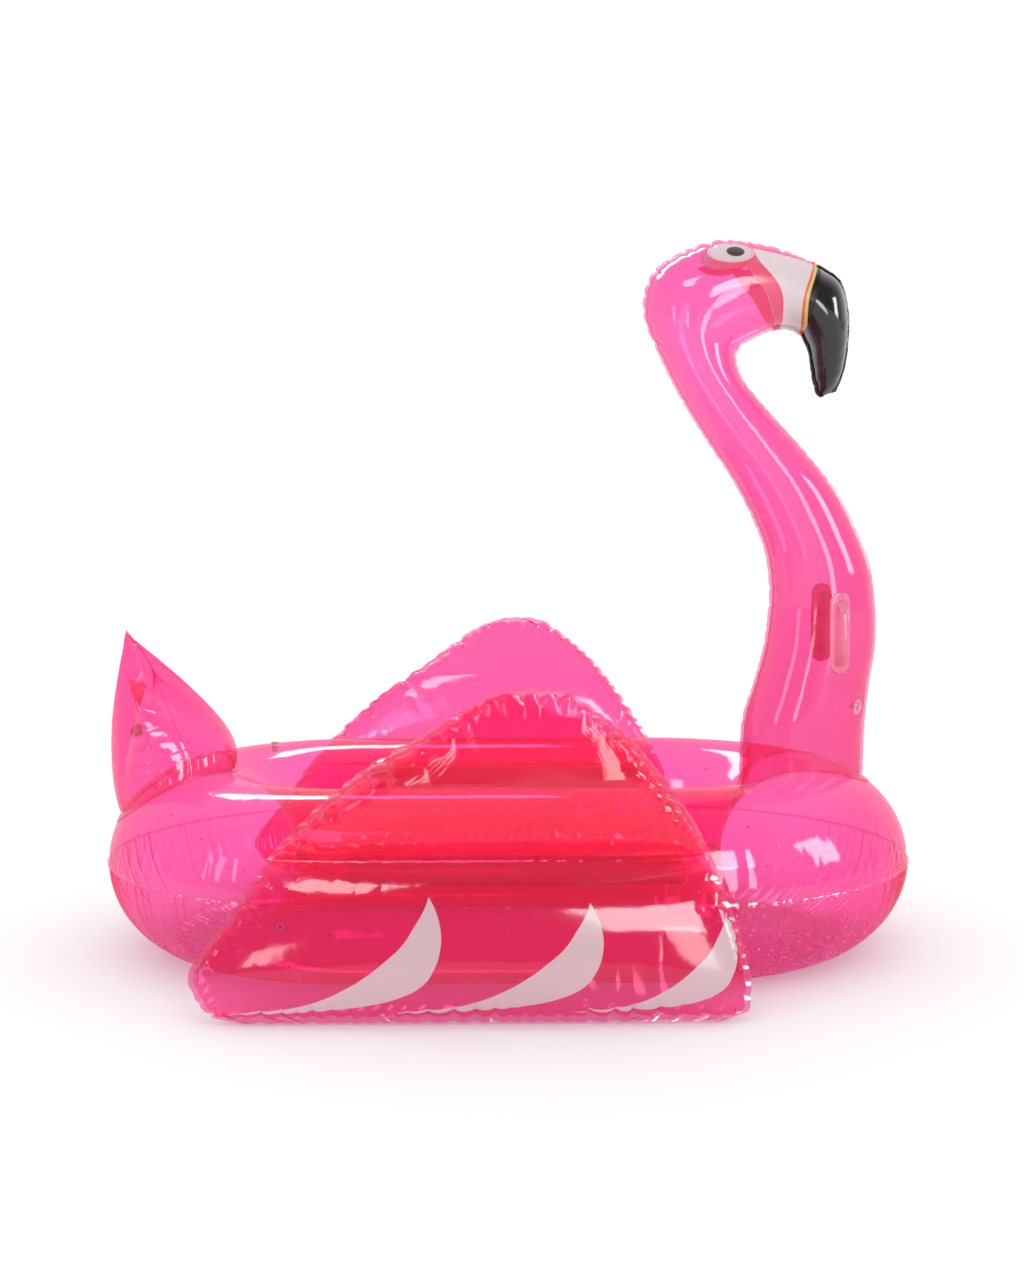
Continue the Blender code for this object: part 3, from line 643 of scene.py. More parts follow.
def oval(share):
    return np.sqrt(np.clip(1 - (2 * share - 1) ** 2, 0, None))


def wing_depth(levels, across, widths, outer):
    low, high = levels[1], levels[-2]
    clipped = np.clip(levels, low, high)
    limit = np.where(clipped < 0, -low, high)
    share = np.clip((np.abs(clipped) - WELD_HALF) / (limit - WELD_HALF), 0, 1)
    fullness = oval(np.where(clipped < 0, share, share ** WING_LOBE_LOW))
    if outer:
        depth = np.full(len(levels), WING_OUTER_DEPTH)
    else:
        depth = np.where(clipped < 0, WING_LOWER_INNER_DEPTH, WING_UPPER_INNER_DEPTH)
    depth = depth * np.where(clipped < 0, 1.0, np.minimum(1.0, widths / WING_FULL_WIDTH))
    sides = np.concatenate([[0.0], np.sqrt(oval(across)), [0.0]])
    return sides[:, None] * (depth * fullness)[None, :]


def wing_place(x, level, depth, side):
    upper = level > 0
    lean_out = np.where(upper, UPPER_LEAN.x, LOWER_LEAN.x)
    lean_up = np.where(upper, UPPER_LEAN.y, LOWER_LEAN.y)
    out = WELD_Y + np.abs(level) * lean_out + depth * np.abs(lean_up)
    up = WELD_Z + np.abs(level) * lean_up - depth * np.where(upper, lean_out, -lean_out)
    return np.stack([x, side * out, up], axis=-1)


def wing_chamber(word, side):
    x, level, across, levels, widths = wing_plan()
    plan = np.stack([x, level, np.zeros_like(x)], axis=-1)
    seam = np.concatenate([plan[1:-1, 1], plan[-2, 2:-1], plan[-3:0:-1, -2], plan[1, -3:0:-1]])
    along, away = seam_places(plan, seam)
    length = lengths_along(seam)[-1]
    edge = Puckers(length, 61, 0.020, 0.056, 0.17, 0.50, 0.30)
    valley = Puckers(widths.max(), 62, 0.016, 0.050, 0.10, 0.45)
    middle = np.array([-0.04, 0.0, 0.0])
    inwards = middle - plan
    inwards /= np.linalg.norm(inwards, axis=2, keepdims=True)
    pull = edge.pull(along) * np.exp(-(away / 0.012) ** 2)
    near_weld = np.clip(np.abs(level) / 0.03, 0, 1)
    drawn = plan + inwards * (pull * near_weld)[:, :, None]
    swell, gap, strength = edge.pillow(along)
    border = np.zeros_like(x)
    border[0], border[-1], border[:, 0], border[:, -1] = 1, 1, 1, 1
    flutter = 0.13 * gap * strength * (swell - 0.6) * border
    sheets = []
    for face in (1, -1):
        depth = wing_depth(levels, across, widths, face > 0)
        rise = edge.rise(along, away) * near_weld
        rise = rise + valley.rise(x - x.min(), np.abs(level) - WELD_HALF) * (np.abs(level) > WELD_HALF)
        rise[:2], rise[-2:], rise[:, :2], rise[:, -2:] = 0, 0, 0, 0
        points = wing_place(drawn[:, :, 0], drawn[:, :, 1], face * (depth + rise) + flutter, side)
        flat = np.stack([x if face > 0 else x + INNER_FILM, level], axis=-1)
        sheets.append(film_grid(f"wing_{word}_film", points, flat=flat, weld_rows=SEAM_PAIR,
                                weld_columns=SEAM_PAIR))
    return weld(sheets)


def wing_tab(word, side):
    """Strip from the ring's shoulder to the wing's weld line."""
    low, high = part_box(f"wing_{word}_tab")
    columns, rows = 120, 12
    x = np.linspace(low.x, high.x, columns)
    start = 0.466
    points = np.empty((columns, rows, 3))
    for i in range(columns):
        ripple = 0.0012 * math.sin(i * 0.55) + 0.0008 * math.sin(i * 1.27)
        for j in range(rows):
            share = j / (rows - 1)
            out = start + (WELD_Y - 0.001 - start) * share
            surface, normal = ring_surface(float(x[i]), min(out, 0.4895))
            lift = 0.0012 + ripple * share * (1 - share) * 4
            point = surface + normal * lift
            on_weld = Vector((x[i], WELD_Y - 0.001, WELD_Z))
            blend = max((share - 0.4) / 0.6, 0.0) ** 1.5
            point = Vector((x[i], out, point.z)).lerp(on_weld, blend)
            points[i, j] = (point.x, side * point.y, point.z)
    band = weld([film_grid(f"wing_{word}_tab_film", points)])
    return thicken(band, 0.0006)


# ---- Moulded pieces: valves and handles ----

def turned(name, profile, steps=48):
    """Piece turned round local Z from a closed profile of (radius, height) points."""
    ring_of = np.array([*profile, profile[0]])
    angles = np.arange(steps) * 2 * math.pi / steps
    points = np.empty((steps, len(ring_of), 3))
    points[:, :, 0] = np.cos(angles)[:, None] * ring_of[None, :, 0]
    points[:, :, 1] = np.sin(angles)[:, None] * ring_of[None, :, 0]
    points[:, :, 2] = ring_of[None, :, 1]
    piece = weld([film_grid(name, points, closed=True)])
    round_edges(piece, 0.0003)
    return piece


def round_edges(piece, width):
    edges = piece.modifiers.new("edges", "BEVEL")
    edges.width = width
    edges.segments = 2
    edges.limit_method = "ANGLE"
    bpy.context.view_layer.objects.active = piece
    bpy.ops.object.modifier_apply(modifier="edges")


def block(name, low, high, rounding):
    low, high = Vector(low), Vector(high)
    bpy.ops.object.select_all(action="DESELECT")
    bpy.ops.mesh.primitive_cube_add(size=1.0, location=(low + high) / 2)
    piece = bpy.context.object
    piece.name = name
    piece.scale = high - low
    bpy.ops.object.transform_apply(location=True, rotation=True, scale=True)
    round_edges(piece, rounding)
    bpy.ops.object.shade_smooth_by_angle(angle=math.radians(40))
    return piece


def joined(*pieces):
    bpy.ops.object.select_all(action="DESELECT")
    for piece in pieces:
        piece.select_set(True)
    bpy.context.view_layer.objects.active = pieces[0]
    bpy.ops.object.join()
    return pieces[0]


def valve_place(tag):
    """Matrix of a valve's own axes, from its stem's slide and its tether's fold line."""
    slide = next(joint for joint in frame["joints"] if joint["name"] == tag + "_valve_slide")
    fold = next(joint for joint in frame["joints"] if joint["name"] == tag + "_plug_hinge")
    z = Vector(slide["axis"]).normalized()
    x = -Vector(fold["axis"]).normalized()
    y = z.cross(x)
    origin = Vector(fold["pos_m"]) - y * FOLD_OUT - z * FOLD_UP
    return Matrix.Translation(origin) @ Matrix((x, y, z)).transposed().to_4x4()


def press_flat(film, place, radius=0.019, blend=0.030, deep=0.02):
    """Draws the film flat under a piece that is welded on it."""
    mesh = film.data
    points = np.empty(len(mesh.vertices) * 3)
    mesh.vertices.foreach_get("co", points)
    points = points.reshape(-1, 3)
    inverse = np.array(place.inverted())
    local = points @ inverse[:3, :3].T + inverse[:3, 3]
    reach = np.hypot(local[:, 0], local[:, 1])
    near = (reach < radius + blend) & (np.abs(local[:, 2]) < deep)
    share = np.clip(1 - (reach - radius) / blend, 0, 1)
    share = share * share * (3 - 2 * share) * near
    local[:, 2] = local[:, 2] * (1 - share) - 0.0004 * share
    matrix = np.array(place)
    points = local @ matrix[:3, :3].T + matrix[:3, 3]
    mesh.vertices.foreach_set("co", points.ravel())
    mesh.update()


def valve_pieces(tag):
    seat_piece = turned(tag + "_seat_moulding", [
        (SEAT_BORE, 0.0), (SEAT_BORE, BOSS_HEIGHT), (BOSS_RADIUS - 0.0006, BOSS_HEIGHT),
        (BOSS_RADIUS, BOSS_HEIGHT - 0.0006), (BOSS_RADIUS, 0.0016), (BOSS_RADIUS + 0.0012, 0.0010),
        (SEAT_RADIUS - 0.002, 0.0007), (SEAT_RADIUS - 0.0012, 0.0010), (SEAT_RADIUS, 0.0006),
        (SEAT_RADIUS, 0.0)])
    stem = turned(tag + "_stem_moulding", [
        (STEM_BORE, STEM_FOOT), (STEM_BORE, STEM_TOP - 0.0003), (STEM_BORE + 0.0003, STEM_TOP),
        (RIM_RADIUS - 0.0003, STEM_TOP), (RIM_RADIUS, STEM_TOP - 0.0003), (RIM_RADIUS, RIM_UNDER),
        (STEM_RADIUS, RIM_UNDER), (STEM_RADIUS, STEM_FOOT + 0.0016), (BEAD_RADIUS, STEM_FOOT + 0.001),
        (BEAD_RADIUS - 0.0004, STEM_FOOT)])
    lug = block(tag + "_lug", (-0.0025, STEM_RADIUS, 0.0036), (0.0025, LUG_END, 0.0047), 0.0003)
    plug = turned(tag + "_plug_moulding", [
        (0.0, PLUG_TIP), (0.0, PLUG_TOP - 0.0006), (0.0035, PLUG_TOP - 0.0006), (0.0040, PLUG_TOP),
        (RIM_RADIUS - 0.0005, PLUG_TOP - 0.0002), (RIM_RADIUS, PLUG_TOP - 0.0006), (RIM_RADIUS, PLUG_UNDER),
        (0.0039, PLUG_UNDER), (0.0036, 0.0030), (0.0038, 0.0026), (0.0030, PLUG_TIP)])
    strap = block(tag + "_strap", (-0.0022, RIM_RADIUS * 0.8, PLUG_UNDER), (0.0022, LUG_END, 0.0062), 0.0002)
    stem, plug = joined(stem, lug), joined(plug, strap)
    place = valve_place(tag)
    for piece in (seat_piece, stem, plug):
        piece.data.transform(place)
    return seat_piece, stem, plug


def film_tree(film):
    mesh = film.data
    return BVHTree.FromPolygons([vertex.co for vertex in mesh.vertices],
                                [tuple(face.vertices) for face in mesh.polygons])


def handle_piece(word, side, film):
    """Pad with a rolled rim that hugs the neck's film, under an arched grip strap."""
    low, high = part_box("handle_" + word)
    surface = film_tree(film)
    middle = (low + high) / 2
    hit, normal, _, _ = surface.ray_cast(Vector((middle.x, side * 0.4, middle.z)), Vector((0, -side, 0)))
    z = normal if normal.y * side > 0 else -normal
    x = Vector((0, 0, 1)).cross(z).normalized()
    y = z.cross(x)
    place = Matrix.Translation(hit) @ Matrix((x, y, z)).transposed().to_4x4()

    radius, straight = HANDLE_WIDTH / 2, (HANDLE_LENGTH - HANDLE_WIDTH) / 2
    columns = 96
    profile = ((0.0, 0.0008), (0.30, 0.0008), (0.52, 0.0008), (0.58, 0.0012), (0.63, 0.0026), (0.70, 0.0030),
               (0.76, 0.0024), (0.82, 0.0020), (0.88, 0.0024), (0.93, 0.0029), (0.97, 0.0022), (1.0, 0.0))
    pad_top = np.empty((columns, len(profile), 3))
    pad_under = np.empty((columns, len(profile), 3))
    for column in range(columns):
        angle = 2 * math.pi * column / columns
        across, along = radius * math.cos(angle), radius * math.sin(angle)
        along += math.copysign(straight, along) * min(1.0, abs(math.sin(angle)) * 4)
        for row, (share, height) in enumerate(profile):
            above = place @ Vector((across * share, along * share, 0.05))
            found, _, _, _ = surface.ray_cast(above, -z)
            pad_top[column, row] = found + z * (0.0006 + height)
            pad_under[column, row] = found + z * 0.0006
    pad = weld([film_grid("handle_pad", pad_top, closed=True),
                film_grid("pad_under", pad_under, closed=True)])

    around = np.arange(24) * 2 * math.pi / 24
    shares = np.linspace(-1, 1, 41)
    grip_points = np.empty((24, 43, 3))
    for row, share in enumerate((-1.0, *shares, 1.0)):
        rise = HANDLE_RISE * (1 - share ** 4) * 0.93
        slope = math.atan2(-4 * share ** 3 * HANDLE_RISE, HANDLE_SPAN / 2)
        flare = 1 + 0.35 * abs(share) ** 8
        closed_end = 0.0 if row in (0, 42) else 1.0
        centre = Vector((0, share * HANDLE_SPAN / 2, 0.0012 + rise))
        upright = Vector((0, -math.sin(slope), math.cos(slope)))
        for step, angle in enumerate(around):
            offset = Vector((math.cos(angle) * GRIP_HALF_WIDTH * flare, 0, 0))
            offset += upright * (math.sin(angle) * GRIP_HALF_DEPTH)
            grip_points[step, row] = place @ (centre + offset * closed_end)
    grip = weld([film_grid("handle_grip", grip_points, closed=True)])
    handle = joined(pad, grip)
    handle.name = f"handle_{word}_moulding"
    return handle


# ---- Glitter: loose flakes that lie and cling inside the ring ----

def flake_places(draw):
    """Angle round the path and angle below the equator of every flake."""
    for _ in range(GLITTER_FRONT):
        yield draw.gauss(-0.62, 0.42), -math.pi / 2 + abs(draw.gauss(0, 0.62))
    for _ in range(GLITTER_BACK):
        yield math.pi + draw.gauss(0.25, 0.5), -math.pi / 2 + abs(draw.gauss(0, 0.5))
    for _ in range(GLITTER_STRAY):
        yield draw.uniform(0, 2 * math.pi), draw.uniform(-math.pi / 2, 0.9)


def glitter_flakes():
    draw = random.Random(71)
    bpy.ops.object.select_all(action="DESELECT")
    bpy.ops.mesh.primitive_circle_add(vertices=6, radius=FLAKE_RADIUS, fill_type="NGON")
    first = bpy.context.object
    first.name = "glitter"
    flakes = [first]
    for turn, dip in flake_places(draw):
        outward = Vector((math.cos(turn), math.sin(turn), 0))
        half = tube_width(outward.x) - 0.003
        centre = Vector((math.copysign(PATH_STRAIGHT, outward.x), 0, EQUATOR)) + outward * PATH_RADIUS
        lean = draw.choice((-1, 1)) * draw.uniform(0.05, 1.0)
        reach = math.cos(dip) * (1 if lean > -0.4 else -1)
        height = TUBE_RISE - 0.003
        place = centre + outward * (half * reach) + Vector((0, 0, height * math.sin(dip)))
        place.z = max(place.z, FLAKE_RADIUS * 1.3)
        normal = outward * reach / half + Vector((0, 0, math.sin(dip) / height))
        normal = normal.normalized() + Vector([draw.gauss(0, 0.5) for _ in range(3)])
        flake = bpy.data.objects.new("glitter_flake", first.data)
        bpy.context.scene.collection.objects.link(flake)
        size = draw.uniform(0.6, 1.25)
        turned_to = normal.to_track_quat("Z", "Y").to_matrix().to_4x4()
        flake.matrix_world = Matrix.Translation(place) @ turned_to @ Matrix.Scale(size, 4)
        flakes.append(flake)
    first.location = flakes[1].location
    return joined_flakes(flakes)


def joined_flakes(flakes):
    bpy.context.view_layer.update()
    for flake in flakes:
        flake.select_set(True)
    bpy.context.view_layer.objects.active = flakes[0]
    bpy.ops.object.join()
    bpy.ops.object.transform_apply(location=True, rotation=True, scale=True)
    return flakes[0]


# ---- Materials ----

def socket_of(value):
    return isinstance(value, bpy.types.NodeSocket)


def feed(tree, socket, value):
    if socket_of(value):
        tree.links.new(value, socket)
    elif value is not None:
        socket.default_value = value


def maths(tree, operation, first, second=None, third=None):
    node = tree.nodes.new("ShaderNodeMath")
    node.operation = operation
    for socket, value in zip(node.inputs, (first, second, third)):
        feed(tree, socket, value)
    return node.outputs[0]


def mixed(tree, share, first, second):
    node = tree.nodes.new("ShaderNodeMix")
    node.data_type = "RGBA"
    feed(tree, node.inputs["Factor"], share)
    feed(tree, node.inputs["A"], first)
    feed(tree, node.inputs["B"], second)
    return node.outputs["Result"]


def mixed_shader(tree, share, first, second):
    node = tree.nodes.new("ShaderNodeMixShader")
    feed(tree, node.inputs[0], share)
    feed(tree, node.inputs[1], first)
    feed(tree, node.inputs[2], second)
    return node.outputs[0]


def noise(tree, vector, scale, detail=2.0, roughness=0.5):
    node = tree.nodes.new("ShaderNodeTexNoise")
    feed(tree, node.inputs["Vector"], vector)
    node.inputs["Scale"].default_value = scale
    node.inputs["Detail"].default_value = detail
    node.inputs["Roughness"].default_value = roughness
    return node.outputs["Fac"]


def ramp(tree, value, low, high):
    """0 below low, 1 above high."""
    node = tree.nodes.new("ShaderNodeMapRange")
    feed(tree, node.inputs["Value"], value)
    node.inputs["From Min"].default_value = low
    node.inputs["From Max"].default_value = high
    return node.outputs["Result"]


def curve_of(tree, value, points):
    """Height of a curve that is drawn through points, read at value; both run from 0 to 1."""
    node = tree.nodes.new("ShaderNodeFloatCurve")
    feed(tree, node.inputs["Value"], value)
    curve = node.mapping.curves[0]
    for at, (x, y) in enumerate(points):
        if at < len(curve.points):
            curve.points[at].location = (x, y)
        else:
            curve.points.new(x, y)
    node.mapping.update()
    return node.outputs[0]


def colour(red, green, blue):
    """Linear colour of an sRGB one given from 0 to 255."""
    parts = [part / 255 for part in (red, green, blue)]
    linear = [part / 12.92 if part <= 0.04045 else ((part + 0.055) / 1.055) ** 2.4 for part in parts]
    return (*linear, 1.0)


def film_wave_group():
    """Slow waves and fine handling marks that stretched film keeps."""
    group = bpy.data.node_groups.new("film_wave", "ShaderNodeTree")
    group.interface.new_socket("Scale", in_out="INPUT", socket_type="NodeSocketFloat").default_value = 1.0
    group.interface.new_socket("Height", in_out="OUTPUT", socket_type="NodeSocketFloat")
    group.interface.new_socket("Marks", in_out="OUTPUT", socket_type="NodeSocketFloat")
    start = group.nodes.new("NodeGroupInput")
    end = group.nodes.new("NodeGroupOutput")
    place = group.nodes.new("ShaderNodeTexCoord").outputs["Object"]
    scaled = group.nodes.new("ShaderNodeVectorMath")
    scaled.operation = "SCALE"
    group.links.new(place, scaled.inputs[0])
    group.links.new(start.outputs["Scale"], scaled.inputs["Scale"])
    slow = noise(group, scaled.outputs[0], 9.0, 2.0)
    fine = noise(group, scaled.outputs[0], 60.0, 3.0, 0.6)
    height = maths(group, "MULTIPLY_ADD", fine, 0.12, slow)
    marks = ramp(group, noise(group, scaled.outputs[0], 22.0, 6.0, 0.7), 0.55, 0.75)
    group.links.new(height, end.inputs["Height"])
    group.links.new(marks, end.inputs["Marks"])
    return group


def new_material(name):
    material = bpy.data.materials.new(name)
    material.use_nodes = True
    tree = material.node_tree
    tree.nodes.clear()
    return material, tree


def place_in(tree, name):
    node = tree.nodes.new("ShaderNodeGroup")
    node.node_tree = bpy.data.node_groups[name]
    return node


def finish_tree(tree, shader):
    end = tree.nodes.new("ShaderNodeOutputMaterial")
    tree.links.new(shader, end.inputs["Surface"])


def waved_normal(tree, strength, distance=0.004):
    wave = place_in(tree, "film_wave")
    bump_node = tree.nodes.new("ShaderNodeBump")
    bump_node.inputs["Strength"].default_value = strength
    bump_node.inputs["Distance"].default_value = distance
    tree.links.new(wave.outputs["Height"], bump_node.inputs["Height"])
    return bump_node.outputs["Normal"], wave.outputs["Marks"]


def see_through(tree, tint, veil_colour, veil=0.06, shine=0.9, wave=0.35):
    """Clear tinted film: what is behind it shows through in its tint. A thin gloss is added all
    over, and a stronger one takes over where the film is seen edge on. veil is the share of milky
    film. Light that isn't on its way to the camera takes one plain tint."""
    normal, marks = waved_normal(tree, wave)
    edge = tree.nodes.new("ShaderNodeLayerWeight")
    edge.inputs["Blend"].default_value = 0.5
    tree.links.new(normal, edge.inputs["Normal"])
    deep = tree.nodes.new("ShaderNodeGamma")
    feed(tree, deep.inputs["Color"], tint)
    deep.inputs["Gamma"].default_value = SLANT_TINT
    slanted = mixed(tree, maths(tree, "POWER", edge.outputs["Facing"], SLANT_POWER), tint, deep.outputs[0])
    clear = tree.nodes.new("ShaderNodeBsdfTransparent")
    rays = tree.nodes.new("ShaderNodeLightPath")
    feed(tree, clear.inputs["Color"], mixed(tree, rays.outputs["Is Camera Ray"], SHADOW_TINT, slanted))
    milk = tree.nodes.new("ShaderNodeBsdfPrincipled")
    feed(tree, milk.inputs["Base Color"], veil_colour)
    milk.inputs["Roughness"].default_value = 0.4
    milk.inputs["Specular IOR Level"].default_value = 0.0
    tree.links.new(normal, milk.inputs["Normal"])
    welded = tree.nodes.new("ShaderNodeAttribute")
    welded.attribute_name = "weld"
    marked = maths(tree, "MULTIPLY_ADD", marks, MARK_CLOUD, veil)
    cloud = maths(tree, "MULTIPLY_ADD", welded.outputs["Fac"], WELD_CLOUD, marked)
    film = mixed_shader(tree, cloud, clear.outputs[0], milk.outputs[0])
    grazing = maths(tree, "POWER", edge.outputs["Facing"], RIM_POWER)
    mirror = tree.nodes.new("ShaderNodeBsdfGlossy")
    feed(tree, mirror.inputs["Roughness"], maths(tree, "MULTIPLY_ADD", marks, 0.10, 0.085))
    tree.links.new(normal, mirror.inputs["Normal"])
    mirror.inputs["Color"].default_value = (BASE_GLOSS * shine, BASE_GLOSS * shine, BASE_GLOSS * shine, 1)
    lit = tree.nodes.new("ShaderNodeAddShader")
    tree.links.new(film, lit.inputs[0])
    tree.links.new(mirror.outputs[0], lit.inputs[1])
    rim = tree.nodes.new("ShaderNodeBsdfGlossy")
    rim.inputs["Color"].default_value = (1, 1, 1, 1)
    rim.inputs["Roughness"].default_value = 0.09
    tree.links.new(normal, rim.inputs["Normal"])
    edge_gloss = maths(tree, "MULTIPLY", grazing, RIM_GLOSS * shine)
    gloss = maths(tree, "MULTIPLY_ADD", welded.outputs["Fac"], WELD_GLOSS, edge_gloss)
    return mixed_shader(tree, gloss, lit.outputs[0], rim.outputs[0])


def opaque_gloss(tree, base, roughness=0.16, wave=0.3, coat=0.3, glow_through=0.0):
    """Glossy ink. glow_through is the share of light from behind that shows through it."""
    normal, marks = waved_normal(tree, wave)
    paint = tree.nodes.new("ShaderNodeBsdfPrincipled")
    feed(tree, paint.inputs["Base Color"], base)
    feed(tree, paint.inputs["Roughness"], maths(tree, "MULTIPLY_ADD", marks, 0.12, roughness))
    paint.inputs["Coat Weight"].default_value = coat
    paint.inputs["Coat Roughness"].default_value = 0.05
    tree.links.new(normal, paint.inputs["Normal"])
    if glow_through == 0.0:
        return paint.outputs[0]
    through = tree.nodes.new("ShaderNodeBsdfTranslucent")
    feed(tree, through.inputs["Color"], base)
    return mixed_shader(tree, glow_through, paint.outputs[0], through.outputs[0])


RING_TINT = (0.985, 0.370, 0.665, 1.0)
WING_TINT = (0.995, 0.330, 0.610, 1.0)
HEAD_TINT = (0.985, 0.355, 0.650, 1.0)
NECK_TINT = (0.925, 0.265, 0.520, 1.0)
TAIL_TINT = (0.980, 0.325, 0.610, 1.0)
SHADOW_TINT = (0.80, 0.55, 0.64, 1.0)   # what is left of light that falls through film on the floor
VEIL_PINK = (1.0, 0.24, 0.46, 1.0)
MOULDED_PINK = (0.98, 0.55, 0.74, 1.0)
WHITE_INK = colour(238, 230, 231)
EYE_INK = colour(226, 216, 218)
FEATHER_INK = colour(232, 214, 217)
CORAL_INK = colour(250, 92, 124)
ORANGE_INK = colour(245, 118, 70)
YELLOW_INK = colour(240, 214, 125)
BLACK_INK = colour(30, 27, 30)
PUPIL_INK = colour(62, 54, 56)


def film_material(name, tint, veil=0.04, shine=0.9, wave=0.35):
    material, tree = new_material(name)
    place = tree.nodes.new("ShaderNodeTexCoord").outputs["Object"]
    drift = noise(tree, place, 2.2, 1.0)
    deeper = tuple(part ** STRETCH_TINT for part in tint[:3]) + (1.0,)
    shade = mixed(tree, ramp(tree, drift, 0.35, 0.7), tint, deeper)
    finish_tree(tree, see_through(tree, shade, VEIL_PINK, veil, shine, wave))
    return material


def flat_place(tree):
    """Two coordinates of a place on the flat film, in metres."""
    laid = tree.nodes.new("ShaderNodeUVMap")
    parts = tree.nodes.new("ShaderNodeSeparateXYZ")
    tree.links.new(laid.outputs["UV"], parts.inputs[0])
    return parts.outputs[0], parts.outputs[1]


def inside_oval(tree, x, z, centre, half_width, half_height, soft=0.02):
    """1 inside an oval, 0 outside."""
    across = maths(tree, "DIVIDE", maths(tree, "SUBTRACT", x, centre[0]), half_width)
    up = maths(tree, "DIVIDE", maths(tree, "SUBTRACT", z, centre[1]), half_height)
    reach = maths(tree, "SQRT", maths(tree, "ADD", maths(tree, "MULTIPLY", across, across),
                                      maths(tree, "MULTIPLY", up, up)))
    return ramp(tree, reach, 1 + soft, 1 - soft)


def both(tree, first, second):
    return maths(tree, "MULTIPLY", first, second)


def without(tree, first, second):
    return maths(tree, "MULTIPLY", first, maths(tree, "SUBTRACT", 1.0, second))


def past(tree, value, edge, soft=0.0005):
    """1 where value is greater than edge, with a hair's softness."""
    return ramp(tree, maths(tree, "SUBTRACT", value, edge), -soft, soft)


PRINT_X, PRINT_Z = 0.44, 1.24      # corner of the printed field on the head
PRINT_SPAN = 0.20


def head_curve(tree, z, points):
    """Place along X of a printed edge that runs down the head, from its (z, x) points."""
    scaled = sorted(((height - PRINT_Z) / PRINT_SPAN, (x - PRINT_X) / PRINT_SPAN) for height, x in points)
    level = ramp(tree, z, PRINT_Z, PRINT_Z + PRINT_SPAN)
    return maths(tree, "MULTIPLY_ADD", curve_of(tree, level, scaled), PRINT_SPAN, PRINT_X)


CORAL_EDGE = ((1.440, 0.443), (1.400, 0.455), (1.3802, 0.4664), (1.3467, 0.4916), (1.3275, 0.5080),
              (1.3048, 0.5195), (1.2719, 0.5321), (1.240, 0.545))
WHITE_EDGE = ((1.440, 0.482), (1.4188, 0.486), (1.395, 0.4925), (1.3747, 0.5087), (1.3537, 0.5261),
              (1.3376, 0.5357), (1.3186, 0.5425), (1.2994, 0.5450), (1.278, 0.5481), (1.240, 0.556))
STRIPE_EDGE = ((1.440, 0.636), (1.3916, 0.6128), (1.3546, 0.5952), (1.3227, 0.5850), (1.2864, 0.5840),
               (1.2512, 0.5905), (1.240, 0.594))
EYE_CENTRE = (0.4405, 1.4090)
EYE_HALF = (0.0465, 0.0215)
PUPIL_CENTRE = (0.4490, 1.4108)
PUPIL_HALF = (0.0180, 0.0105)
CRESCENT_CENTRE = (0.4380, 1.4030)
CRESCENT_HALF = (0.0540, 0.0285)
BROW_LINE = (0.486, 1.4188, -0.2096)   # x and z where the white print's top edge starts, and its slope


def head_print(tree, x, z):
    """Colour of the ink on the head, and where there is ink."""
    coral_edge = head_curve(tree, z, CORAL_EDGE)
    white_edge = head_curve(tree, z, WHITE_EDGE)
    stripe_edge = head_curve(tree, z, STRIPE_EDGE)
    brow_x, brow_z, brow_slope = BROW_LINE
    brow = maths(tree, "MULTIPLY_ADD", maths(tree, "SUBTRACT", x, brow_x), brow_slope, brow_z)
    under_brow = past(tree, brow, z)
    crescent = inside_oval(tree, x, z, CRESCENT_CENTRE, *CRESCENT_HALF)
    eye = inside_oval(tree, x, z, EYE_CENTRE, *EYE_HALF)
    pupil = inside_oval(tree, x, z, PUPIL_CENTRE, *PUPIL_HALF, soft=0.05)
    low_side = past(tree, maths(tree, "MULTIPLY_ADD", x, 0.25, 1.292), z)
    on_head = past(tree, z, 1.21)
    ahead_of_hook = past(tree, x, 0.43)
    band_top = past(tree, 1.386, z)
    band = both(tree, both(tree, past(tree, x, coral_edge), band_top), both(tree, ahead_of_hook, on_head))
    coral = maths(tree, "MAXIMUM", band, both(tree, crescent, low_side))
    white = both(tree, both(tree, past(tree, x, white_edge), under_brow), on_head)
    orange = both(tree, past(tree, x, stripe_edge), on_head)
    yellow = past(tree, x, maths(tree, "ADD", stripe_edge, 0.0050))
    black = past(tree, x, maths(tree, "ADD", stripe_edge, 0.0115))
    ring_line = without(tree, inside_oval(tree, x, z, EYE_CENTRE, EYE_HALF[0] * 0.93, EYE_HALF[1] * 0.93),
                        inside_oval(tree, x, z, EYE_CENTRE, EYE_HALF[0] * 0.88, EYE_HALF[1] * 0.88))
    ink = mixed(tree, white, CORAL_INK, WHITE_INK)
    ink = mixed(tree, orange, ink, ORANGE_INK)
    ink = mixed(tree, both(tree, orange, yellow), ink, YELLOW_INK)
    ink = mixed(tree, both(tree, orange, black), ink, BLACK_INK)
    ink = mixed(tree, eye, ink, EYE_INK)
    ink = mixed(tree, maths(tree, "MULTIPLY", ring_line, 0.5), ink, CORAL_INK)
    ink = mixed(tree, pupil, ink, PUPIL_INK)
    solid = maths(tree, "MAXIMUM", maths(tree, "MAXIMUM", white, orange), eye)
    sheer = maths(tree, "MULTIPLY", coral, CORAL_STRENGTH)
    return ink, maths(tree, "MAXIMUM", solid, sheer)


def neck_material():
    material, tree = new_material("printed_neck_film")
    x, z = flat_place(tree)
    climb = ramp(tree, z, 0.55, 1.15)
    tint = mixed(tree, climb, NECK_TINT, HEAD_TINT)
    film = see_through(tree, tint, VEIL_PINK, 0.05)
    ink, where = head_print(tree, x, z)
    finish_tree(tree, mixed_shader(tree, where, film, opaque_gloss(tree, ink, 0.25, 0.25, 0.25, 0.35)))
    return material


FEATHER_FOOT = -0.285
FEATHER_REACH = 0.36       # how far a feather's tail runs back from its tip
FEATHER_SPAN = 0.40
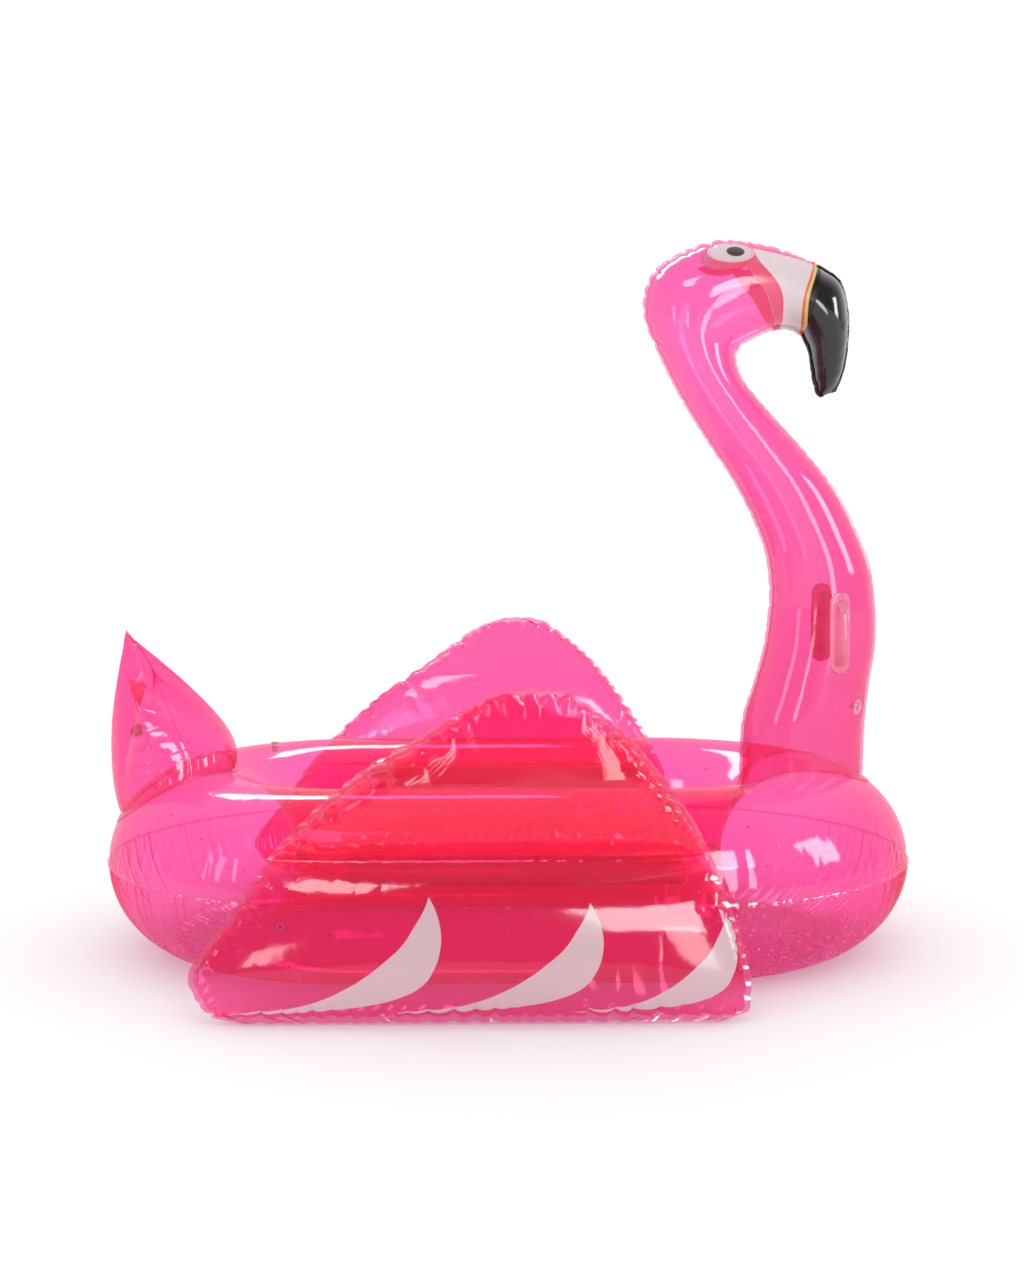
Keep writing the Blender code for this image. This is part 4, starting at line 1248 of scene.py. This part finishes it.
# Edges of a feather, as (share of its height, place ahead of its tip).
FEATHER_BACK = ((0.0, -0.36), (0.015, -0.32), (0.04, -0.255), (0.097, -0.200), (0.195, -0.150),
                (0.30, -0.112), (0.43, -0.077), (0.565, -0.047), (0.735, -0.0245), (0.88, -0.008), (1.0, 0.0))
FEATHER_FRONT = ((0.0, -0.30), (0.02, -0.20), (0.055, -0.12), (0.12, -0.055), (0.22, -0.012), (0.36, 0.010),
                 (0.53, 0.021), (0.70, 0.0215), (0.86, 0.0135), (1.0, 0.0))
# Tips of the feathers, as (x, level, breadth).
FEATHER_TIPS = ((-0.1548, -0.0833, 1.0), (0.1338, -0.0953, 1.0), (0.3822, -0.1091, 0.78))


def feather(tree, x, level, tip_x, tip_level, breadth):
    """1 inside one crescent feather."""
    share = ramp(tree, level, FEATHER_FOOT, tip_level)
    ahead = maths(tree, "DIVIDE", maths(tree, "SUBTRACT", x, tip_x), breadth)
    edges = []
    for outline in (FEATHER_BACK, FEATHER_FRONT):
        scaled = [(height, (place + FEATHER_REACH) / FEATHER_SPAN) for height, place in outline]
        edges.append(maths(tree, "MULTIPLY_ADD", curve_of(tree, share, scaled), FEATHER_SPAN, -FEATHER_REACH))
    inside = both(tree, past(tree, ahead, edges[0]), past(tree, edges[1], ahead))
    return both(tree, inside, both(tree, past(tree, tip_level, level), past(tree, level, FEATHER_FOOT)))


def wing_material():
    material, tree = new_material("printed_wing_film")
    x, level = flat_place(tree)
    film = see_through(tree, WING_TINT, VEIL_PINK, 0.045)
    feathers = None
    for tip_x, tip_level, breadth in FEATHER_TIPS:
        mask = feather(tree, x, level, tip_x, tip_level, breadth)
        feathers = mask if feathers is None else maths(tree, "MAXIMUM", feathers, mask)
    behind = tree.nodes.new("ShaderNodeNewGeometry").outputs["Backfacing"]
    strength = maths(tree, "MULTIPLY_ADD", behind, PRINT_FROM_BEHIND - 1.0, 1.0)
    feathers = maths(tree, "MULTIPLY", feathers, strength)
    ink = opaque_gloss(tree, FEATHER_INK, 0.25, 0.25, 0.3, 0.4)
    finish_tree(tree, mixed_shader(tree, feathers, film, ink))
    return material


def moulded_material(name, tint, veil):
    """Thick cast vinyl, cloudier than the film."""
    material, tree = new_material(name)
    finish_tree(tree, see_through(tree, tint, MOULDED_PINK, veil, 1.0, 0.15))
    return material


def glitter_material():
    material, tree = new_material("violet_glitter")
    place = tree.nodes.new("ShaderNodeTexCoord").outputs["Object"]
    hue = noise(tree, place, 420.0, 1.0)
    cool = mixed(tree, ramp(tree, hue, 0.38, 0.52), (0.55, 0.10, 0.95, 1.0), (0.95, 0.18, 0.85, 1.0))
    tone = mixed(tree, ramp(tree, hue, 0.52, 0.62), cool, (1.0, 0.62, 0.92, 1.0))
    foil = tree.nodes.new("ShaderNodeBsdfPrincipled")
    foil.inputs["Metallic"].default_value = 0.75
    feed(tree, foil.inputs["Base Color"], tone)
    feed(tree, foil.inputs["Roughness"], ramp(tree, hue, -0.5, 2.0))
    finish_tree(tree, foil.outputs[0])
    return material


def assign(piece, *materials):
    piece.data.materials.clear()
    for material in materials:
        piece.data.materials.append(material)


# ---- The float ----

def fit(piece, material, body, slot, *nodes):
    """Gives a finished piece its material and its body, and hides the solids that it stands for."""
    assign(piece, material)
    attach(piece, body)
    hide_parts(*nodes)


film_wave_group()
ring_film = film_material("ring_film_pink", RING_TINT)
tail_film = film_material("tail_film_pink", TAIL_TINT)
seat_film = film_material("seat_film_pink", RING_TINT, veil=0.08)
band_film = film_material("weld_band_pink", (0.96, 0.33, 0.60, 1.0), veil=0.12)
neck_print = neck_material()
wing_print = wing_material()
valve_vinyl = moulded_material("valve_vinyl", (0.97, 0.66, 0.80, 1.0), 0.45)
handle_vinyl = moulded_material("handle_vinyl", (0.93, 0.30, 0.55, 1.0), 0.30)
glitter_foil = glitter_material()
black_film, black_tree = new_material("bill_film_black")
finish_tree(black_tree, opaque_gloss(black_tree, (0.012, 0.011, 0.013, 1.0), 0.12))

ring = ring_chamber()
fit(ring, ring_film, "root", "pink_film", "ring_top_panel", "ring_bottom_panel")

seat = seat_sheet()
fit(seat, seat_film, "root", "deep_pink_film", "seat_floor")

neck = neck_chamber()
fit(neck, neck_print, "root", "pink_film", "neck_left_panel", "neck_right_panel")

bill = bill_chamber()
fit(bill, black_film, "root", "black_film", "bill_left_panel", "bill_right_panel")

tail = tail_chamber()
fit(tail, tail_film, "root", "pink_film", "tail_front_panel", "tail_back_panel")

wings = {}
for word, side in SIDES:
    wing = wing_chamber(word, side)
    wings[word] = wing
    fit(wing, wing_print, f"wing_{word}", "pink_film", f"wing_{word}_outer_panel",
        f"wing_{word}_inner_panel")
    tab = wing_tab(word, side)
    fit(tab, band_film, "root", "deep_pink_film", f"wing_{word}_tab")

(neck_back, _), (neck_front, _), neck_half = NECK_SECTIONS[0]
for name, outline in (("neck_collar", foot_outline((neck_back + neck_front) / 2,
                                                   (neck_front - neck_back) / 2, neck_half)),
                      ("tail_collar", foot_outline(TAIL_FOOT_X, TAIL_FOOT_LENGTH, TAIL_FOOT_WIDTH))):
    band = weld_band(name + "_film", outline, 0.003, 0.011)
    fit(band, band_film, "root", "deep_pink_film", name)

for word, side in SIDES:
    handle = handle_piece(word, side, neck)
    fit(handle, handle_vinyl, "root", "moulded_vinyl", "handle_" + word)

VALVES = (("ring", ring, "root"), ("neck", neck, "root"), ("tail", tail, "root"),
          ("wing_left", wings["left"], "wing_left"), ("wing_right", wings["right"], "wing_right"))
for tag, film, carrier in VALVES:
    press_flat(film, valve_place(tag))
    seat_piece, stem, plug = valve_pieces(tag)
    for piece, body, node in ((seat_piece, carrier, tag + "_valve_seat"),
                              (stem, tag + "_valve_stem", tag + "_valve_stem"),
                              (plug, tag + "_valve_plug", tag + "_valve_plug")):
        fit(piece, valve_vinyl, body, "moulded_vinyl", node)

glitter = glitter_flakes()
assign(glitter, glitter_foil)
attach(glitter, "root")


# ---- Stage ----

def soft_box(name, place, target, width, height, brightness):
    """Area light of a given brightness over its face, turned to a point. It only shows as a
    highlight on gloss and leaves the plain shading to the studio's walls."""
    light = bpy.data.lights.new(name, "AREA")
    light.shape = "RECTANGLE"
    light.size, light.size_y = width, height
    light.energy = brightness * math.pi * width * height
    holder = bpy.data.objects.new(name, light)
    bpy.context.scene.collection.objects.link(holder)
    holder.location = place
    holder.rotation_euler = (Vector(target) - Vector(place)).to_track_quat("-Z", "Y").to_euler()
    holder.visible_diffuse = False


STUDIO_LEVEL = 1.12
bpy.ops.mesh.primitive_plane_add(size=60, location=(0, 0, 0))
floor = bpy.context.object
floor.name = "studio_floor"
floor_material, floor_tree = new_material("white_floor")
floor_paint = floor_tree.nodes.new("ShaderNodeBsdfDiffuse")
floor_paint.inputs["Color"].default_value = (0.97, 0.97, 0.97, 1)
finish_tree(floor_tree, floor_paint.outputs[0])
floor.data.materials.append(floor_material)

world = bpy.data.worlds.new("studio")
bpy.context.scene.world = world
world.use_nodes = True
sky = world.node_tree
sky.nodes.clear()
glow = sky.nodes.new("ShaderNodeBackground")
glow.inputs["Color"].default_value = (1, 1, 1, 1)
path = sky.nodes.new("ShaderNodeLightPath")
way = sky.nodes.new("ShaderNodeTexCoord")
way_parts = sky.nodes.new("ShaderNodeSeparateXYZ")
sky.links.new(way.outputs["Generated"], way_parts.inputs[0])
white_wall = maths(sky, "MULTIPLY_ADD", ramp(sky, way_parts.outputs["Y"], -0.2, 0.6), 0.85, 0.15)
gloss_drop = maths(sky, "SUBTRACT", white_wall, STUDIO_LEVEL)
sky.links.new(maths(sky, "MULTIPLY_ADD", path.outputs["Is Glossy Ray"], gloss_drop, STUDIO_LEVEL),
              glow.inputs["Strength"])
sky_end = sky.nodes.new("ShaderNodeOutputWorld")
sky.links.new(glow.outputs[0], sky_end.inputs["Surface"])

soft_box("front_window", (1.60, -3.60, 2.75), (0.0, -0.5, 0.2), 1.9, 1.5, 15)
soft_box("strip_window", (1.85, -3.60, 1.25), (0.0, 0.0, 0.8), 0.85, 1.8, 10)
soft_box("left_window", (-1.75, -4.3, 1.2), (-0.2, 0, 0.6), 0.5, 1.2, 9)
soft_box("side_window", (3.8, -0.9, 1.9), (0.0, 0, 0.5), 1.0, 1.6, 14)
soft_box("top_box", (-1.1, -1.6, 4.0), (-0.2, 0, 0.4), 1.1, 1.0, 12)
soft_box("back_box", (-0.9, 3.2, 3.3), (-0.3, 0, 0.4), 2.4, 0.7, 16)
soft_box("low_left_box", (-4.0, -2.0, 1.5), (0, 0, 0.3), 0.7, 1.6, 5)

# ---- Camera ----
FRAME_HEIGHT = 1280
FOCAL = 2043.0            # in steps of the frame's height
camera_data = bpy.data.cameras.new("camera")
camera_data.lens = 36.0 * FOCAL / FRAME_HEIGHT
camera_data.sensor_width = 36.0
camera = bpy.data.objects.new("camera", camera_data)
bpy.context.scene.collection.objects.link(camera)
camera.location = (-0.0807, -4.177, 1.09)
camera.rotation_euler = (math.radians(90 - 6.3125), 0, math.radians(-1.2))
bpy.context.scene.camera = camera

bpy.context.scene.view_settings.view_transform = "Standard"
bpy.context.scene.cycles.transparent_max_bounces = 64
